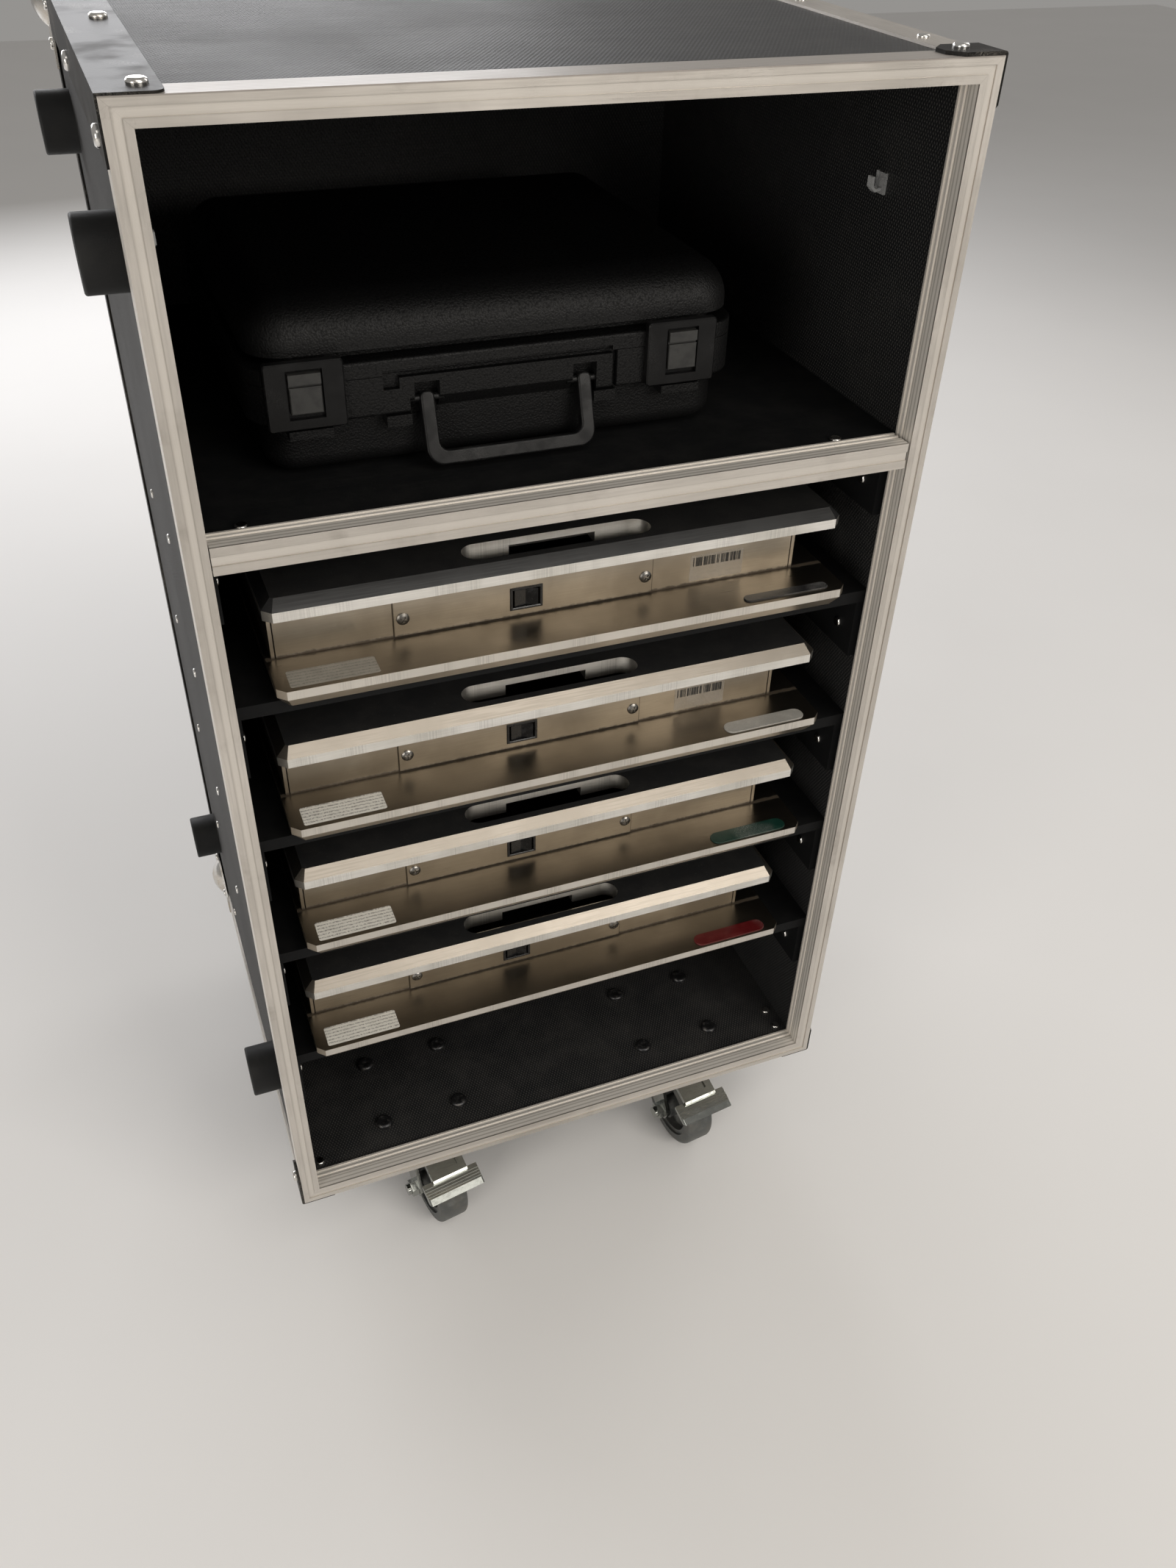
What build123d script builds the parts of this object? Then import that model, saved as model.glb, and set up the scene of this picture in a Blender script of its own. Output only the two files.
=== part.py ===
from build123d import *
import math
import os

# A rolling rack case with an open front: a plywood body edged in metal, one upper bay with a
# small carrying case in it, four shelves that each hold a square weighing pad, and casters.
# Millimetres. While the pieces are built, X runs right from the left outer face, Y runs into the
# case from the front plane and Z runs up from the underside of the body. At the end everything
# moves so that the origin is on the floor, under the middle of the whole object's box.

# ---- driving dimensions ----
CASE_W = 457.0
CASE_D = 410.0
CASE_H = 796.0
EXTRUSION = 1.5          # wall of the edge extrusions
PANEL = 9.0              # laminated plywood
DIVIDER = 12.0

FRAME_FACE = 13.0        # width of the front frame
FRAME_WEB = 2.0
FRAME_OUTER_FLANGE = 21.0
FRAME_INNER_FLANGE = 18.0
GROOVE = 0.8

TRIM_LOW = 566.2         # underside of the divider's trim
TRIM_TALL = 16.5

SHELF_TOPS = (467.0, 362.5, 259.5, 152.0)
PAD_OFFSETS = (0.0, -3.5, -4.5, -9.0)     # each pad sits a little differently on its shelf
SHELF_FRONT = 20.0
CLEAT_THICK = 6.0
CLEAT_TALL = 45.0

PAD_SIDE = 381.0
PAD_TALL = 63.5
PAD_BASE = 14.5
PAD_DECK = 12.8
PAD_FRONT = 5.0          # the base's front edge, behind the front plane
PAD_LIP = 18.0           # the deck starts this far behind the base
BASE_RIM = 6.0           # upright part of the base's edge; the rest is bevelled underneath
BASE_SLOPE = 38.7        # degrees from upright
DECK_RIM = 6.5           # upright part of the deck's edge; the rest is bevelled above
DECK_SLOPE = 45.0
PAD_CORNER = 5.4
PAD_RECESS = 20.0        # the housing's wall is this far behind the deck's front
HOUSING_LEFT = 3.5
HOUSING_WIDE = 355.0
HOUSING_WALL = 10.0
END_PLATE = 2.2          # thickness of the housing's end plates
END_GAP = 0.8            # between an end plate and the front wall
SWITCH_PLATE = (76.0, 250.0)     # its ends, from the housing's left end
SLOT_LONG = 125.0
SLOT_WIDE = 20.0
SLOT_FROM_DECK_FRONT = 12.0
REST_GAP = 0.3           # between a loose piece and what it rests on

SWITCH_X = -24.5         # the switch's middle, from the pad's middle
SWITCH_Z = 27.6          # and above the pad's underside
SWITCH_HOLE = (19.0, 13.0)
SWITCH_PIVOT = 2.6       # behind the housing's front
ROCKER_WIDE = 15.2
ROCKER_TALL = 11.6

BAG_X = (52.0, 352.0)
BAG_Y = (66.0, 316.0)
BAG_TALL = 98.0
BAG_PARTING = 54.5
BAG_BAND = (31.7, 64.2)  # heights of the raised band round both halves
BAG_CROWN = 69.7         # the lid's crown starts here, above a groove
BAG_INSET = 8.0          # the shell's body is this far inside the band
CROWN_INSET = 3.0
GROOVE_INSET = 12.0
BAG_WALL = 3.0
CHANNEL_X = (127.5, 267.4)       # a sunk channel along the parting line, over the handle
CHANNEL_Z = (52.9, 57.6)
CHANNEL_DEEP = 4.0
TAB_X = ((128.0, 142.6), (255.0, 268.8))
LATCH_X = (82.8, 310.3)
LATCH_WIDE = 44.5
LATCH_TALL = 38.0
BUTTON_WIDE = 18.0
BUTTON_TALL = 22.5
BUTTON_TRAVEL = 3.0
HANDLE_X = 201.4
HANDLE_SPAN = 96.9
HANDLE_REACH = 39.2
HANDLE_BAR = 8.6
HANDLE_THICK = 7.0
HANDLE_DROOP = 71.4      # degrees below level
HANDLE_PIVOT = (3.5, 38.4)       # behind the band's front, and above the case's underside
HANDLE_PIN = 2.0
POCKET = 7.5             # half the width of the pocket round each foot
HINGE_X = (120.0, 284.0)
HINGE_R = 3.5

CASTER_TALL = 108.0
CASTER_X = (110.0, 347.0)
CASTER_Y = (78.5, 331.5)
CASTER_TURN = (9.0, 7.0, 172.0, 186.0)    # degrees about Z; 0 trails to the front
BOLT_PITCH = 65.0
TRAIL = 43.5
WHEEL_R = 37.5
TREAD_WIDE = 26.0
FORK_INSIDE = 17.0
FORK_THICK = 3.0
AXLE_R = 4.0
RUNNING = 0.05
PLATE_THICK = 3.0
PLATE_TOP = EXTRUSION
AXLE_DOWN = CASTER_TALL + PLATE_TOP - WHEEL_R     # below the plate's top
RACE_LOW = -15.0
CROWN_TOP = -15.4
CROWN_LOW = -18.9
KINGPIN_R = 6.0
PEDAL_PIVOT = (-18.0, -24.0)

BUMPER_R = 19.0
BUMPER_REACH = 20.0
BUMPER_Y = (57.0, 352.0)
BUMPER_Z = (106.0, 718.0)

BALL_R = 22.5
BALL_INSET = 13.0
CORNER_LEG = 54.0
CORNER_THICK = 1.2
BRACE_LEG = 28.5
BRACE_RIVET = 18.5
SMALL_BRACE_LEG = 32.0
SMALL_BRACE_DEEP = 26.0
SMALL_BRACE_THICK = 2.0
SMALL_BRACES = ((-1, -1), (1, -1), (1, 1))    # side and level of each: left or right, bottom or top
EDGE_LEG = 22.0
FRONT_COLUMN = (150.0, (516.0, 414.0, 310.0, 211.0))          # y, then the heights of its rivets
REAR_COLUMN = (279.0, (488.0, 383.0, 279.0, 175.0, 69.0))
CORNER_RIVETS = ((14.0, 40.0), (40.0, 14.0))                 # in from each edge of a rear corner
HOOK_AT = (80.0, 716.0)

INSIDE_X = (EXTRUSION + PANEL, CASE_W - EXTRUSION - PANEL)
INSIDE_BACK = CASE_D - EXTRUSION - PANEL
FLOOR_TOP = EXTRUSION + PANEL
ROOF = CASE_H - EXTRUSION - PANEL
DIVIDER_TOP = TRIM_LOW + (TRIM_TALL + DIVIDER) / 2

pieces = {}


# ---- helpers ----
def block(x, y, z):
    """A box between the low and high values of each axis."""
    size = (x[1] - x[0], y[1] - y[0], z[1] - z[0])
    return Pos((x[0] + x[1]) / 2, (y[0] + y[1]) / 2, (z[0] + z[1]) / 2) * Box(*size)


def rod(radius, start, direction, length):
    """A cylinder from start along direction."""
    plane = Plane(origin=start, z_dir=direction)
    return extrude(plane * Circle(radius), length)


def prism_x(outline, x_low, x_high):
    """An outline of (y, z) points, extruded along X."""
    face = make_face(Polyline([(x_low, y, z) for y, z in outline], close=True))
    return extrude(face, x_high - x_low, dir=(1, 0, 0))


def prism_y(outline, y_low, y_high):
    """An outline of (x, z) points, extruded along Y."""
    face = make_face(Polyline([(x, y_low, z) for x, z in outline], close=True))
    return extrude(face, y_high - y_low, dir=(0, 1, 0))


def prism_z(outline, z_low, z_high):
    """An outline of (x, y) points, extruded along Z."""
    face = make_face(Polyline([(x, y, z_low) for x, y in outline], close=True))
    return extrude(face, z_high - z_low, dir=(0, 0, 1))


def group(solids):
    """Separate solids that share a node."""
    return Compound([part for solid in solids for part in solid.solids()])


def pan_head(radius, tall, shank_radius, shank, at, direction):
    """A low domed head standing on a face, with its shank behind it."""
    plane = Plane(origin=at, z_dir=direction)
    head = extrude(plane * Circle(radius), tall)
    rim = head.edges().filter_by(GeomType.CIRCLE).sort_by(Axis(at, direction))[-1]
    head = fillet(rim, tall * 0.7)
    return head + extrude(plane * Circle(shank_radius), -shank)


def mirrored_x(solid):
    """The same piece on the case's other side."""
    return mirror(solid, about=Plane(origin=(CASE_W / 2, 0, 0), z_dir=(1, 0, 0)))


# ---- body panels ----
side_z = (EXTRUSION, CASE_H - EXTRUSION)
panel_y = (FRAME_WEB, CASE_D - EXTRUSION)
left_panel = block((EXTRUSION, INSIDE_X[0]), panel_y, side_z)
pieces["left_panel"] = left_panel
pieces["right_panel"] = mirrored_x(left_panel)
pieces["top_panel"] = block(INSIDE_X, panel_y, (ROOF, CASE_H - EXTRUSION))
pieces["back_panel"] = block(INSIDE_X, (INSIDE_BACK, CASE_D - EXTRUSION), (FLOOR_TOP, ROOF))
bolt_spots = [
    (x + dx, y + dy)
    for x in CASTER_X
    for y in CASTER_Y
    for dx in (-BOLT_PITCH / 2, BOLT_PITCH / 2)
    for dy in (-BOLT_PITCH / 2, BOLT_PITCH / 2)
]
floor_panel = block(INSIDE_X, panel_y, (EXTRUSION, FLOOR_TOP))
for x, y in bolt_spots:
    floor_panel -= rod(4.2, (x, y, 0), (0, 0, 1), 2 * FLOOR_TOP)
pieces["floor_panel"] = floor_panel


# ---- shelves and the battens that carry them ----
divider_low = DIVIDER_TOP - DIVIDER
pieces["divider_shelf"] = block(INSIDE_X, (FRAME_WEB, INSIDE_BACK), (divider_low, DIVIDER_TOP))
shelf_y = (SHELF_FRONT, INSIDE_BACK)
pieces["pad_shelves"] = group(
    [block(INSIDE_X, shelf_y, (top - PANEL, top)) for top in SHELF_TOPS]
)
carried = [divider_low] + [top - PANEL for top in SHELF_TOPS]
cleat_x = (INSIDE_X[0], INSIDE_X[0] + CLEAT_THICK)
left_cleats = [
    block(cleat_x, (SHELF_FRONT + 2, INSIDE_BACK - 5), (z - CLEAT_TALL, z)) for z in carried
]
pieces["shelf_cleats"] = group(left_cleats + [mirrored_x(cleat) for cleat in left_cleats])


# ---- front frame: a grooved extrusion, mitred at the corners ----
def frame_profile():
    """The section as (inward, depth) points: outer flange, grooved face, ribbed inner flange."""
    face = FRAME_FACE
    ribs = [(9.0, 12.2), (13.4, 16.6)]
    inner = []
    for start, end in ribs:
        inner += [(face, start), (face - GROOVE, start), (face - GROOVE, end), (face, end)]
    return (
        [(0, 0), (4.3, 0), (4.3, GROOVE), (8.7, GROOVE), (8.7, 0), (face, 0)]
        + inner
        + [(face, FRAME_INNER_FLANGE), (FLOOR_TOP, FRAME_INNER_FLANGE), (FLOOR_TOP, FRAME_WEB)]
        + [(EXTRUSION, FRAME_WEB), (EXTRUSION, FRAME_OUTER_FLANGE), (0, FRAME_OUTER_FLANGE)]
    )


def frame_member(long):
    """A member along X at the bottom edge, cut at 45 degrees at both ends."""
    bar = prism_x([(depth, inward) for inward, depth in frame_profile()], 0, long)
    mitre = [(0, 0), (long, 0), (long - FRAME_FACE, FRAME_FACE), (FRAME_FACE, FRAME_FACE)]
    return bar & prism_y(mitre, 0, FRAME_OUTER_FLANGE)


bottom_member = frame_member(CASE_W)
pieces["frame_bottom"] = bottom_member
pieces["frame_top"] = mirror(bottom_member, about=Plane.XY.offset(CASE_H / 2))
upright = Pos(0, 0, CASE_H) * Rot(0, 90, 0) * frame_member(CASE_H)
pieces["frame_left"] = upright
pieces["frame_right"] = mirrored_x(upright)

trim_high = TRIM_LOW + TRIM_TALL
flange = (TRIM_TALL - DIVIDER) / 2
trim_x = (FRAME_FACE + 0.6, CASE_W - FRAME_FACE - 1.4)
step = TRIM_TALL / 3
trim = prism_x(
    [
        (0, TRIM_LOW),
        (0, TRIM_LOW + step),
        (GROOVE, TRIM_LOW + step),
        (GROOVE, TRIM_LOW + 2 * step),
        (0, TRIM_LOW + 2 * step),
        (0, trim_high),
        (9.0, trim_high),
        (9.0, trim_high - GROOVE),
        (12.2, trim_high - GROOVE),
        (12.2, trim_high),
        (13.4, trim_high),
        (13.4, trim_high - GROOVE),
        (16.6, trim_high - GROOVE),
        (16.6, trim_high),
        (FRAME_INNER_FLANGE, trim_high),
        (FRAME_INNER_FLANGE, trim_high - flange),
        (FRAME_WEB, trim_high - flange),
        (FRAME_WEB, TRIM_LOW + flange),
        (FRAME_INNER_FLANGE, TRIM_LOW + flange),
        (FRAME_INNER_FLANGE, TRIM_LOW),
    ],
    *trim_x,
)
pieces["divider_trim"] = trim
# The divider's front corners are notched round the frame's inner flanges.
notch = block((0, FRAME_FACE), (0, FRAME_INNER_FLANGE), (divider_low - 1, DIVIDER_TOP + 1))
pieces["divider_shelf"] = pieces["divider_shelf"] - notch - mirrored_x(notch)


# ---- edging, braces and corners ----
def angle_along_y(y_low, y_high, leg, thick):
    """An angle on the left bottom edge, its outer faces at x = 0 and z = 0."""
    outline = [(0, 0), (leg, 0), (leg, thick), (thick, thick), (thick, leg), (0, leg)]
    return prism_y(outline, y_low, y_high)


edge = angle_along_y(FRAME_OUTER_FLANGE, CASE_D - EDGE_LEG, EDGE_LEG, EXTRUSION)
top_edge = mirror(edge, about=Plane.XY.offset(CASE_H / 2))
pieces["edge_angles"] = group([edge, top_edge, mirrored_x(edge), mirrored_x(top_edge)])

rear_y = (CASE_D - EDGE_LEG, CASE_D)
skin_y = (CASE_D - EXTRUSION, CASE_D)
rear_post = block((0, EXTRUSION), (rear_y[0], skin_y[0]), side_z)
rear_post += block((0, EDGE_LEG), skin_y, side_z)
rear_rail = block((0, CASE_W), rear_y, (0, EXTRUSION))
rear_rail += block((EDGE_LEG, CASE_W - EDGE_LEG), skin_y, (EXTRUSION, EDGE_LEG))
top_rail = mirror(rear_rail, about=Plane.XY.offset(CASE_H / 2))
pieces["rear_edging"] = group([rear_post, mirrored_x(rear_post), rear_rail, top_rail])

brace_end = CASE_D - CORNER_LEG
brace = angle_along_y(0.5, brace_end, BRACE_LEG + CORNER_THICK, CORNER_THICK)
brace = Pos(-CORNER_THICK, 0, -CORNER_THICK) * brace
brace = mirror(brace, about=Plane.XY.offset(CASE_H / 2))
brace_tip = brace.edges().filter_by(Axis.Z).filter_by(lambda e: e.center().X > BRACE_LEG - 1)
brace = fillet(brace_tip, 6.0)
pieces["top_left_brace"] = brace


def small_brace():
    """A folded plate round the bottom left front corner, outside the frame."""
    low, clip = 0.8, 8.0
    thick, leg, deep = SMALL_BRACE_THICK, SMALL_BRACE_LEG, SMALL_BRACE_DEEP
    outline = [(-thick, low), (leg - clip, low), (leg, low + clip)]
    outline += [(leg, deep - clip), (leg - clip, deep), (-thick, deep)]
    under = prism_z(outline, -thick, 0)
    side = prism_x([(y, x) for x, y in outline], -thick, 0)
    plate = under + side
    fold = plate.edges().filter_by(Axis.Y).sort_by(lambda e: e.center().X + e.center().Z)[0]
    return fillet(fold, thick * 0.9)


lower_left = small_brace()
lower_right = mirrored_x(lower_left)
upper_right = mirror(lower_right, about=Plane.XY.offset(CASE_H / 2))
pieces["corner_braces"] = group([lower_left, lower_right, upper_right])


def ball_corner():
    """Three tapered plates round the rear bottom left corner, with a hollow ball over it."""
    leg, cut, thick = CORNER_LEG, 20.0, CORNER_THICK
    outline = [(-thick, -thick), (leg, -thick), (leg, cut), (cut, leg), (-thick, leg)]
    under = prism_z([(a, CASE_D - b) for a, b in outline], -thick, 0)
    side = prism_x([(CASE_D - a, b) for a, b in outline], -thick, 0)
    back = prism_y(outline, CASE_D, CASE_D + thick)
    ball = Pos(BALL_INSET, CASE_D - BALL_INSET, BALL_INSET) * Sphere(BALL_R)
    body = block((0, CASE_W), (0, CASE_D), (0, CASE_H))
    return (under + side + back + ball) - body


ball = ball_corner()
top_ball = mirror(ball, about=Plane.XY.offset(CASE_H / 2))
pieces["ball_corners"] = group([ball, top_ball, mirrored_x(ball), mirrored_x(top_ball)])


# ---- rubber bumpers on the left side ----
def bumper(y, z):
    """A short round rubber foot lying on its side, with a sunk hole for its screw."""
    body = rod(BUMPER_R, (EXTRUSION, y, z), (-1, 0, 0), EXTRUSION + BUMPER_REACH)
    rim = body.edges().filter_by(GeomType.CIRCLE).sort_by(Axis.X)[0]
    body = fillet(rim, 1.5)
    body -= rod(7.0, (-BUMPER_REACH - 1, y, z), (1, 0, 0), 9.0)
    return body - rod(2.6, (-BUMPER_REACH, y, z), (1, 0, 0), 30.0)


pieces["bumpers"] = group([bumper(y, z) for y in BUMPER_Y for z in BUMPER_Z])


# ---- rivets, screws and bolts ----
def corner_rivets():
    """Two rivets on each plate of the rear bottom left corner."""
    thick, far = CORNER_THICK, CASE_D + CORNER_THICK
    heads = []
    for a, b in CORNER_RIVETS:
        heads.append(pan_head(3.6, 1.8, 1.6, 5, (a, far, b), (0, 1, 0)))
        heads.append(pan_head(3.6, 1.8, 1.6, 5, (-thick, CASE_D - a, b), (-1, 0, 0)))
        heads.append(pan_head(3.6, 1.8, 1.6, 5, (a, CASE_D - b, -thick), (0, 0, -1)))
    return heads


rivets = []
for head in corner_rivets():
    top_head = mirror(head, about=Plane.XY.offset(CASE_H / 2))
    rivets += [head, top_head, mirrored_x(head), mirrored_x(top_head)]
for y in (18.0, 199.0):
    rivets.append(pan_head(5.0, 2.6, 2.0, 6, (BRACE_RIVET, y, CASE_H + CORNER_THICK), (0, 0, 1)))
    rivets.append(pan_head(5.0, 2.6, 2.0, 6, (-CORNER_THICK, y, CASE_H - BRACE_RIVET), (-1, 0, 0)))
for side, level in SMALL_BRACES:
    x_edge = CASE_W * (side + 1) / 2
    z_edge = CASE_H * (level + 1) / 2
    flat = (x_edge - side * BRACE_RIVET, 15.0, z_edge + level * SMALL_BRACE_THICK)
    upright_spot = (x_edge + side * SMALL_BRACE_THICK, 15.0, z_edge - level * BRACE_RIVET)
    rivets.append(pan_head(4.5, 2.6, 2.0, 6, flat, (0, 0, level)))
    rivets.append(pan_head(4.5, 2.6, 2.0, 6, upright_spot, (side, 0, 0)))
for y, heights in (FRONT_COLUMN, REAR_COLUMN):
    for z in heights:
        stub = pan_head(3.2, 1.4, 1.6, 6, (EXTRUSION, y, z), (-1, 0, 0))
        rivets += [stub, mirrored_x(stub)]
for y in (60.0, 200.0, 340.0):
    rivets.append(pan_head(3.6, 1.6, 1.6, 6, (CASE_W - 12.0, y, CASE_H), (0, 0, 1)))
pieces["rivets"] = group(rivets)

screws = []
cleat_face = INSIDE_X[0] + CLEAT_THICK
for z in carried:
    for y in (40.0, 205.0, 370.0):
        cleat_screw = pan_head(3.8, 2.2, 1.8, 9, (cleat_face, y, z - 26.0), (1, 0, 0))
        screws += [cleat_screw, mirrored_x(cleat_screw)]
for x in (34.0, 404.0):
    screws.append(pan_head(3.8, 1.8, 1.8, 8, (x, 24.0, DIVIDER_TOP), (0, 0, 1)))
for x, y in ((19.0, 27.0), (438.0, 27.0), (438.0, 46.0)):
    screws.append(pan_head(3.8, 2.0, 1.8, 6, (x, y, FLOOR_TOP), (0, 0, 1)))
for y in BUMPER_Y:
    for z in BUMPER_Z:
        screws.append(pan_head(4.5, 2.5, 2.4, 14, (-BUMPER_REACH + 8.0, y, z), (-1, 0, 0)))
pieces["screws"] = group(screws)

bolts = []
for x, y in bolt_spots:
    bolt = pan_head(7.0, 3.6, 4.0, PANEL + PLATE_THICK + 7, (x, y, FLOOR_TOP), (0, 0, 1))
    bolt -= Pos(x, y, FLOOR_TOP + 3.0) * extrude(RegularPolygon(2.6, 6), 4)
    under = Plane(origin=(x, y, EXTRUSION - PLATE_THICK - 5.0), z_dir=(0, 0, 1))
    bolts.append(bolt + extrude(under * RegularPolygon(7.0, 6), 5.0))
pieces["caster_bolts"] = group(bolts)


# ---- small hooks on the upper bay's side walls ----
def wall_hook():
    """A clear hook: a base plate on the left wall and a curled tongue."""
    base = block((0, 1.8), (-5, 5), (-6, 6))
    tongue = [(1, -3.5), (6, -5), (9, -2), (9, 4), (7.2, 4), (7.2, -1.5), (5.5, -3.2), (1, -1.8)]
    return base + prism_y(tongue, -2.5, 2.5)


left_hook = Pos(INSIDE_X[0], *HOOK_AT) * wall_hook()
pieces["wall_hooks"] = group([left_hook, mirrored_x(left_hook)])


# ---- casters ----
def caster_plate():
    """Mounting plate, race cup and kingpin; z = 0 is the plate's top."""
    half = 42.5
    plate = block((-half, half), (-half, half), (-PLATE_THICK, 0))
    plate = fillet(plate.edges().filter_by(Axis.Z), 8.0)
    for dx in (-BOLT_PITCH / 2, BOLT_PITCH / 2):
        for dy in (-BOLT_PITCH / 2, BOLT_PITCH / 2):
            plate -= rod(4.2, (dx, dy, -PLATE_THICK - 1), (0, 0, 1), PLATE_THICK + 2)
    cup = Pos(0, 0, (RACE_LOW - PLATE_THICK) / 2) * Cylinder(25.0, -RACE_LOW - PLATE_THICK)
    cup = fillet(cup.edges().filter_by(GeomType.CIRCLE).sort_by(Axis.Z)[0], 3.0)
    pin = rod(KINGPIN_R, (0, 0, -PLATE_THICK), (0, 0, -1), -CROWN_LOW)
    head = rod(9.0, (0, 0, CROWN_LOW - 0.4), (0, 0, -1), 2.6)
    return plate + cup + pin + head


def caster_fork():
    """Pressed crown with two legs, and the axle bolt through them."""
    outer = FORK_INSIDE + FORK_THICK
    crown = rod(30.0, (0, 0, CROWN_LOW), (0, 0, 1), CROWN_TOP - CROWN_LOW)
    crown = crown & block((-outer, outer), (-40, 40), (-40, 0))
    crown -= rod(KINGPIN_R + RUNNING, (0, 0, -40), (0, 0, 1), 40)
    leg = prism_x(
        [(22, CROWN_TOP), (-28, CROWN_TOP), (-50, -AXLE_DOWN + 8), (-53, -AXLE_DOWN),
         (-50, -AXLE_DOWN - 7), (-43.5, -AXLE_DOWN - 10), (-36, -AXLE_DOWN - 7), (18, -32)],
        FORK_INSIDE, outer,
    )
    legs = leg + mirror(leg, about=Plane.YZ)
    legs -= rod(AXLE_R + RUNNING, (-40, -TRAIL, -AXLE_DOWN), (1, 0, 0), 80)
    return crown + legs


def axle_bolt():
    """Shank across the fork, a hex head on one end and a domed nut on the other."""
    outer = FORK_INSIDE + FORK_THICK
    shank = rod(AXLE_R, (-outer - 2, -TRAIL, -AXLE_DOWN), (1, 0, 0), 2 * outer + 4)
    right = Plane(origin=(outer, -TRAIL, -AXLE_DOWN), z_dir=(1, 0, 0))
    left = Plane(origin=(-outer, -TRAIL, -AXLE_DOWN), z_dir=(-1, 0, 0))
    head = extrude(right * RegularPolygon(7.5, 6), 5.0)
    nut = extrude(left * RegularPolygon(7.5, 6), 6.0) + extrude(left * Circle(5.0), 9.0)
    return shank + head + nut


def wheel_hub():
    """Spoked centre: a rim, a web and a boss bored for the axle."""
    centre = (0, -TRAIL, -AXLE_DOWN)
    along = Plane(origin=centre, z_dir=(1, 0, 0))
    rim = extrude(along * Circle(28.0), 11.0, both=True)
    dish = extrude(along * Circle(24.0), 11.0, both=True)
    dish -= extrude(along * Circle(24.0), 4.0, both=True)
    boss = extrude(along * Circle(10.0), 15.5, both=True)
    hub = (rim - dish) + boss
    return hub - extrude(along * Circle(AXLE_R + RUNNING), 20.0, both=True)


def wheel_tyre():
    """Tread ring with rounded shoulders."""
    centre = (0, -TRAIL, -AXLE_DOWN)
    along = Plane(origin=centre, z_dir=(1, 0, 0))
    ring = extrude(along * Circle(WHEEL_R), TREAD_WIDE / 2, both=True)
    shoulders = ring.edges().filter_by(GeomType.CIRCLE)
    ring = fillet(shoulders, 4.0)
    return ring - extrude(along * Circle(28.0), 20.0, both=True)


def brake_pedal():
    """Locking lever: a trough-shaped arm over the wheel, and a wide ribbed tread in front."""
    profile = [
        (-10, -20), (-45, -21.5), (-73, -31.8), (-74.5, -33.5), (-73, -36.5), (-46, -27.5),
        (-10, -28.5),
    ]
    trough = [(-24, -10), (-24, -22.8), (-45, -23.7), (-67.5, -32), (-67.5, -10)]
    arm = prism_x(profile, -15.8, 15.8) - prism_x(trough, -9.5, 9.5)
    tread = prism_x([(-71, -34.6), (-84, -38.4), (-89, -41), (-86, -43.5), (-71, -37.6)], -25, 25)
    ends = tread.edges().filter_by(lambda e: abs(e.center().X) > 24.9 and e.center().Y < -85)
    tread = fillet(ends, 1.5)
    fall = math.degrees(math.atan2(3.8, 13))
    for k in range(4):
        spot = 4.6 + 2.5 * k
        y = -71 - spot * math.cos(math.radians(fall))
        z = -34.6 - spot * math.sin(math.radians(fall))
        tread -= Pos(0, y, z) * Rot(fall, 0, 0) * Box(60, 1.0, 1.2)
    pin = rod(3.0, (-FORK_INSIDE + 0.3, *PEDAL_PIVOT), (1, 0, 0), 2 * FORK_INSIDE - 0.6)
    return arm + tread + pin


caster_spots = [(x, y) for y in CASTER_Y for x in CASTER_X]
caster_plates = []
for n, (spot, turn) in enumerate(zip(caster_spots, CASTER_TURN), start=1):
    square = Pos(*spot, PLATE_TOP)
    turned = square * Rot(0, 0, turn)
    caster_plates.append(square * caster_plate())
    pieces[f"caster_{n}_fork"] = group([turned * caster_fork(), turned * axle_bolt()])
    pieces[f"caster_{n}_hub"] = turned * wheel_hub()
    pieces[f"caster_{n}_tyre"] = turned * wheel_tyre()
    if n <= 2:
        pieces[f"caster_{n}_pedal"] = turned * brake_pedal()
pieces["caster_plates"] = group(caster_plates)


# ---- weighing pads ----
def pad_outline(y_low):
    """A square with clipped corners, as (x, y) points."""
    half, cut = PAD_SIDE / 2, PAD_CORNER
    y_high = PAD_FRONT + PAD_SIDE
    return [
        (-half + cut, y_low), (half - cut, y_low), (half, y_low + cut), (half, y_high - cut),
        (half - cut, y_high), (-half + cut, y_high), (-half, y_high - cut), (-half, y_low + cut),
    ]


def bevelled_plate(outline, z_rim, rim, bevel, slope):
    """An upright rim above z_rim, and a bevel going on from it: up, or down if it is negative."""
    plate = prism_z(outline, z_rim, z_rim + rim)
    start = z_rim + rim if bevel > 0 else z_rim
    face = make_face(Polyline([(x, y, start) for x, y in outline], close=True))
    way = 1 if bevel > 0 else -1
    return plate + extrude(face, abs(bevel), dir=(0, 0, way), taper=slope)


deck_front = PAD_FRONT + PAD_LIP
housing_front = deck_front + PAD_RECESS
slot_front = deck_front + SLOT_FROM_DECK_FRONT
slot_middle = -2.5
deck_low = PAD_TALL - PAD_DECK
switch_face = housing_front - 1.2


def slot_shape(z_low, z_high):
    """The round-ended hand slot, as a solid to take away."""
    plane = Plane(origin=(slot_middle, slot_front + SLOT_WIDE / 2, z_low))
    return extrude(plane * SlotOverall(SLOT_LONG, SLOT_WIDE), z_high - z_low)


def pad_base():
    """Bare base plate; its front edge juts out ahead of the deck."""
    under = PAD_BASE - BASE_RIM
    return bevelled_plate(pad_outline(PAD_FRONT), under, BASE_RIM, -under, BASE_SLOPE)


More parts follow.
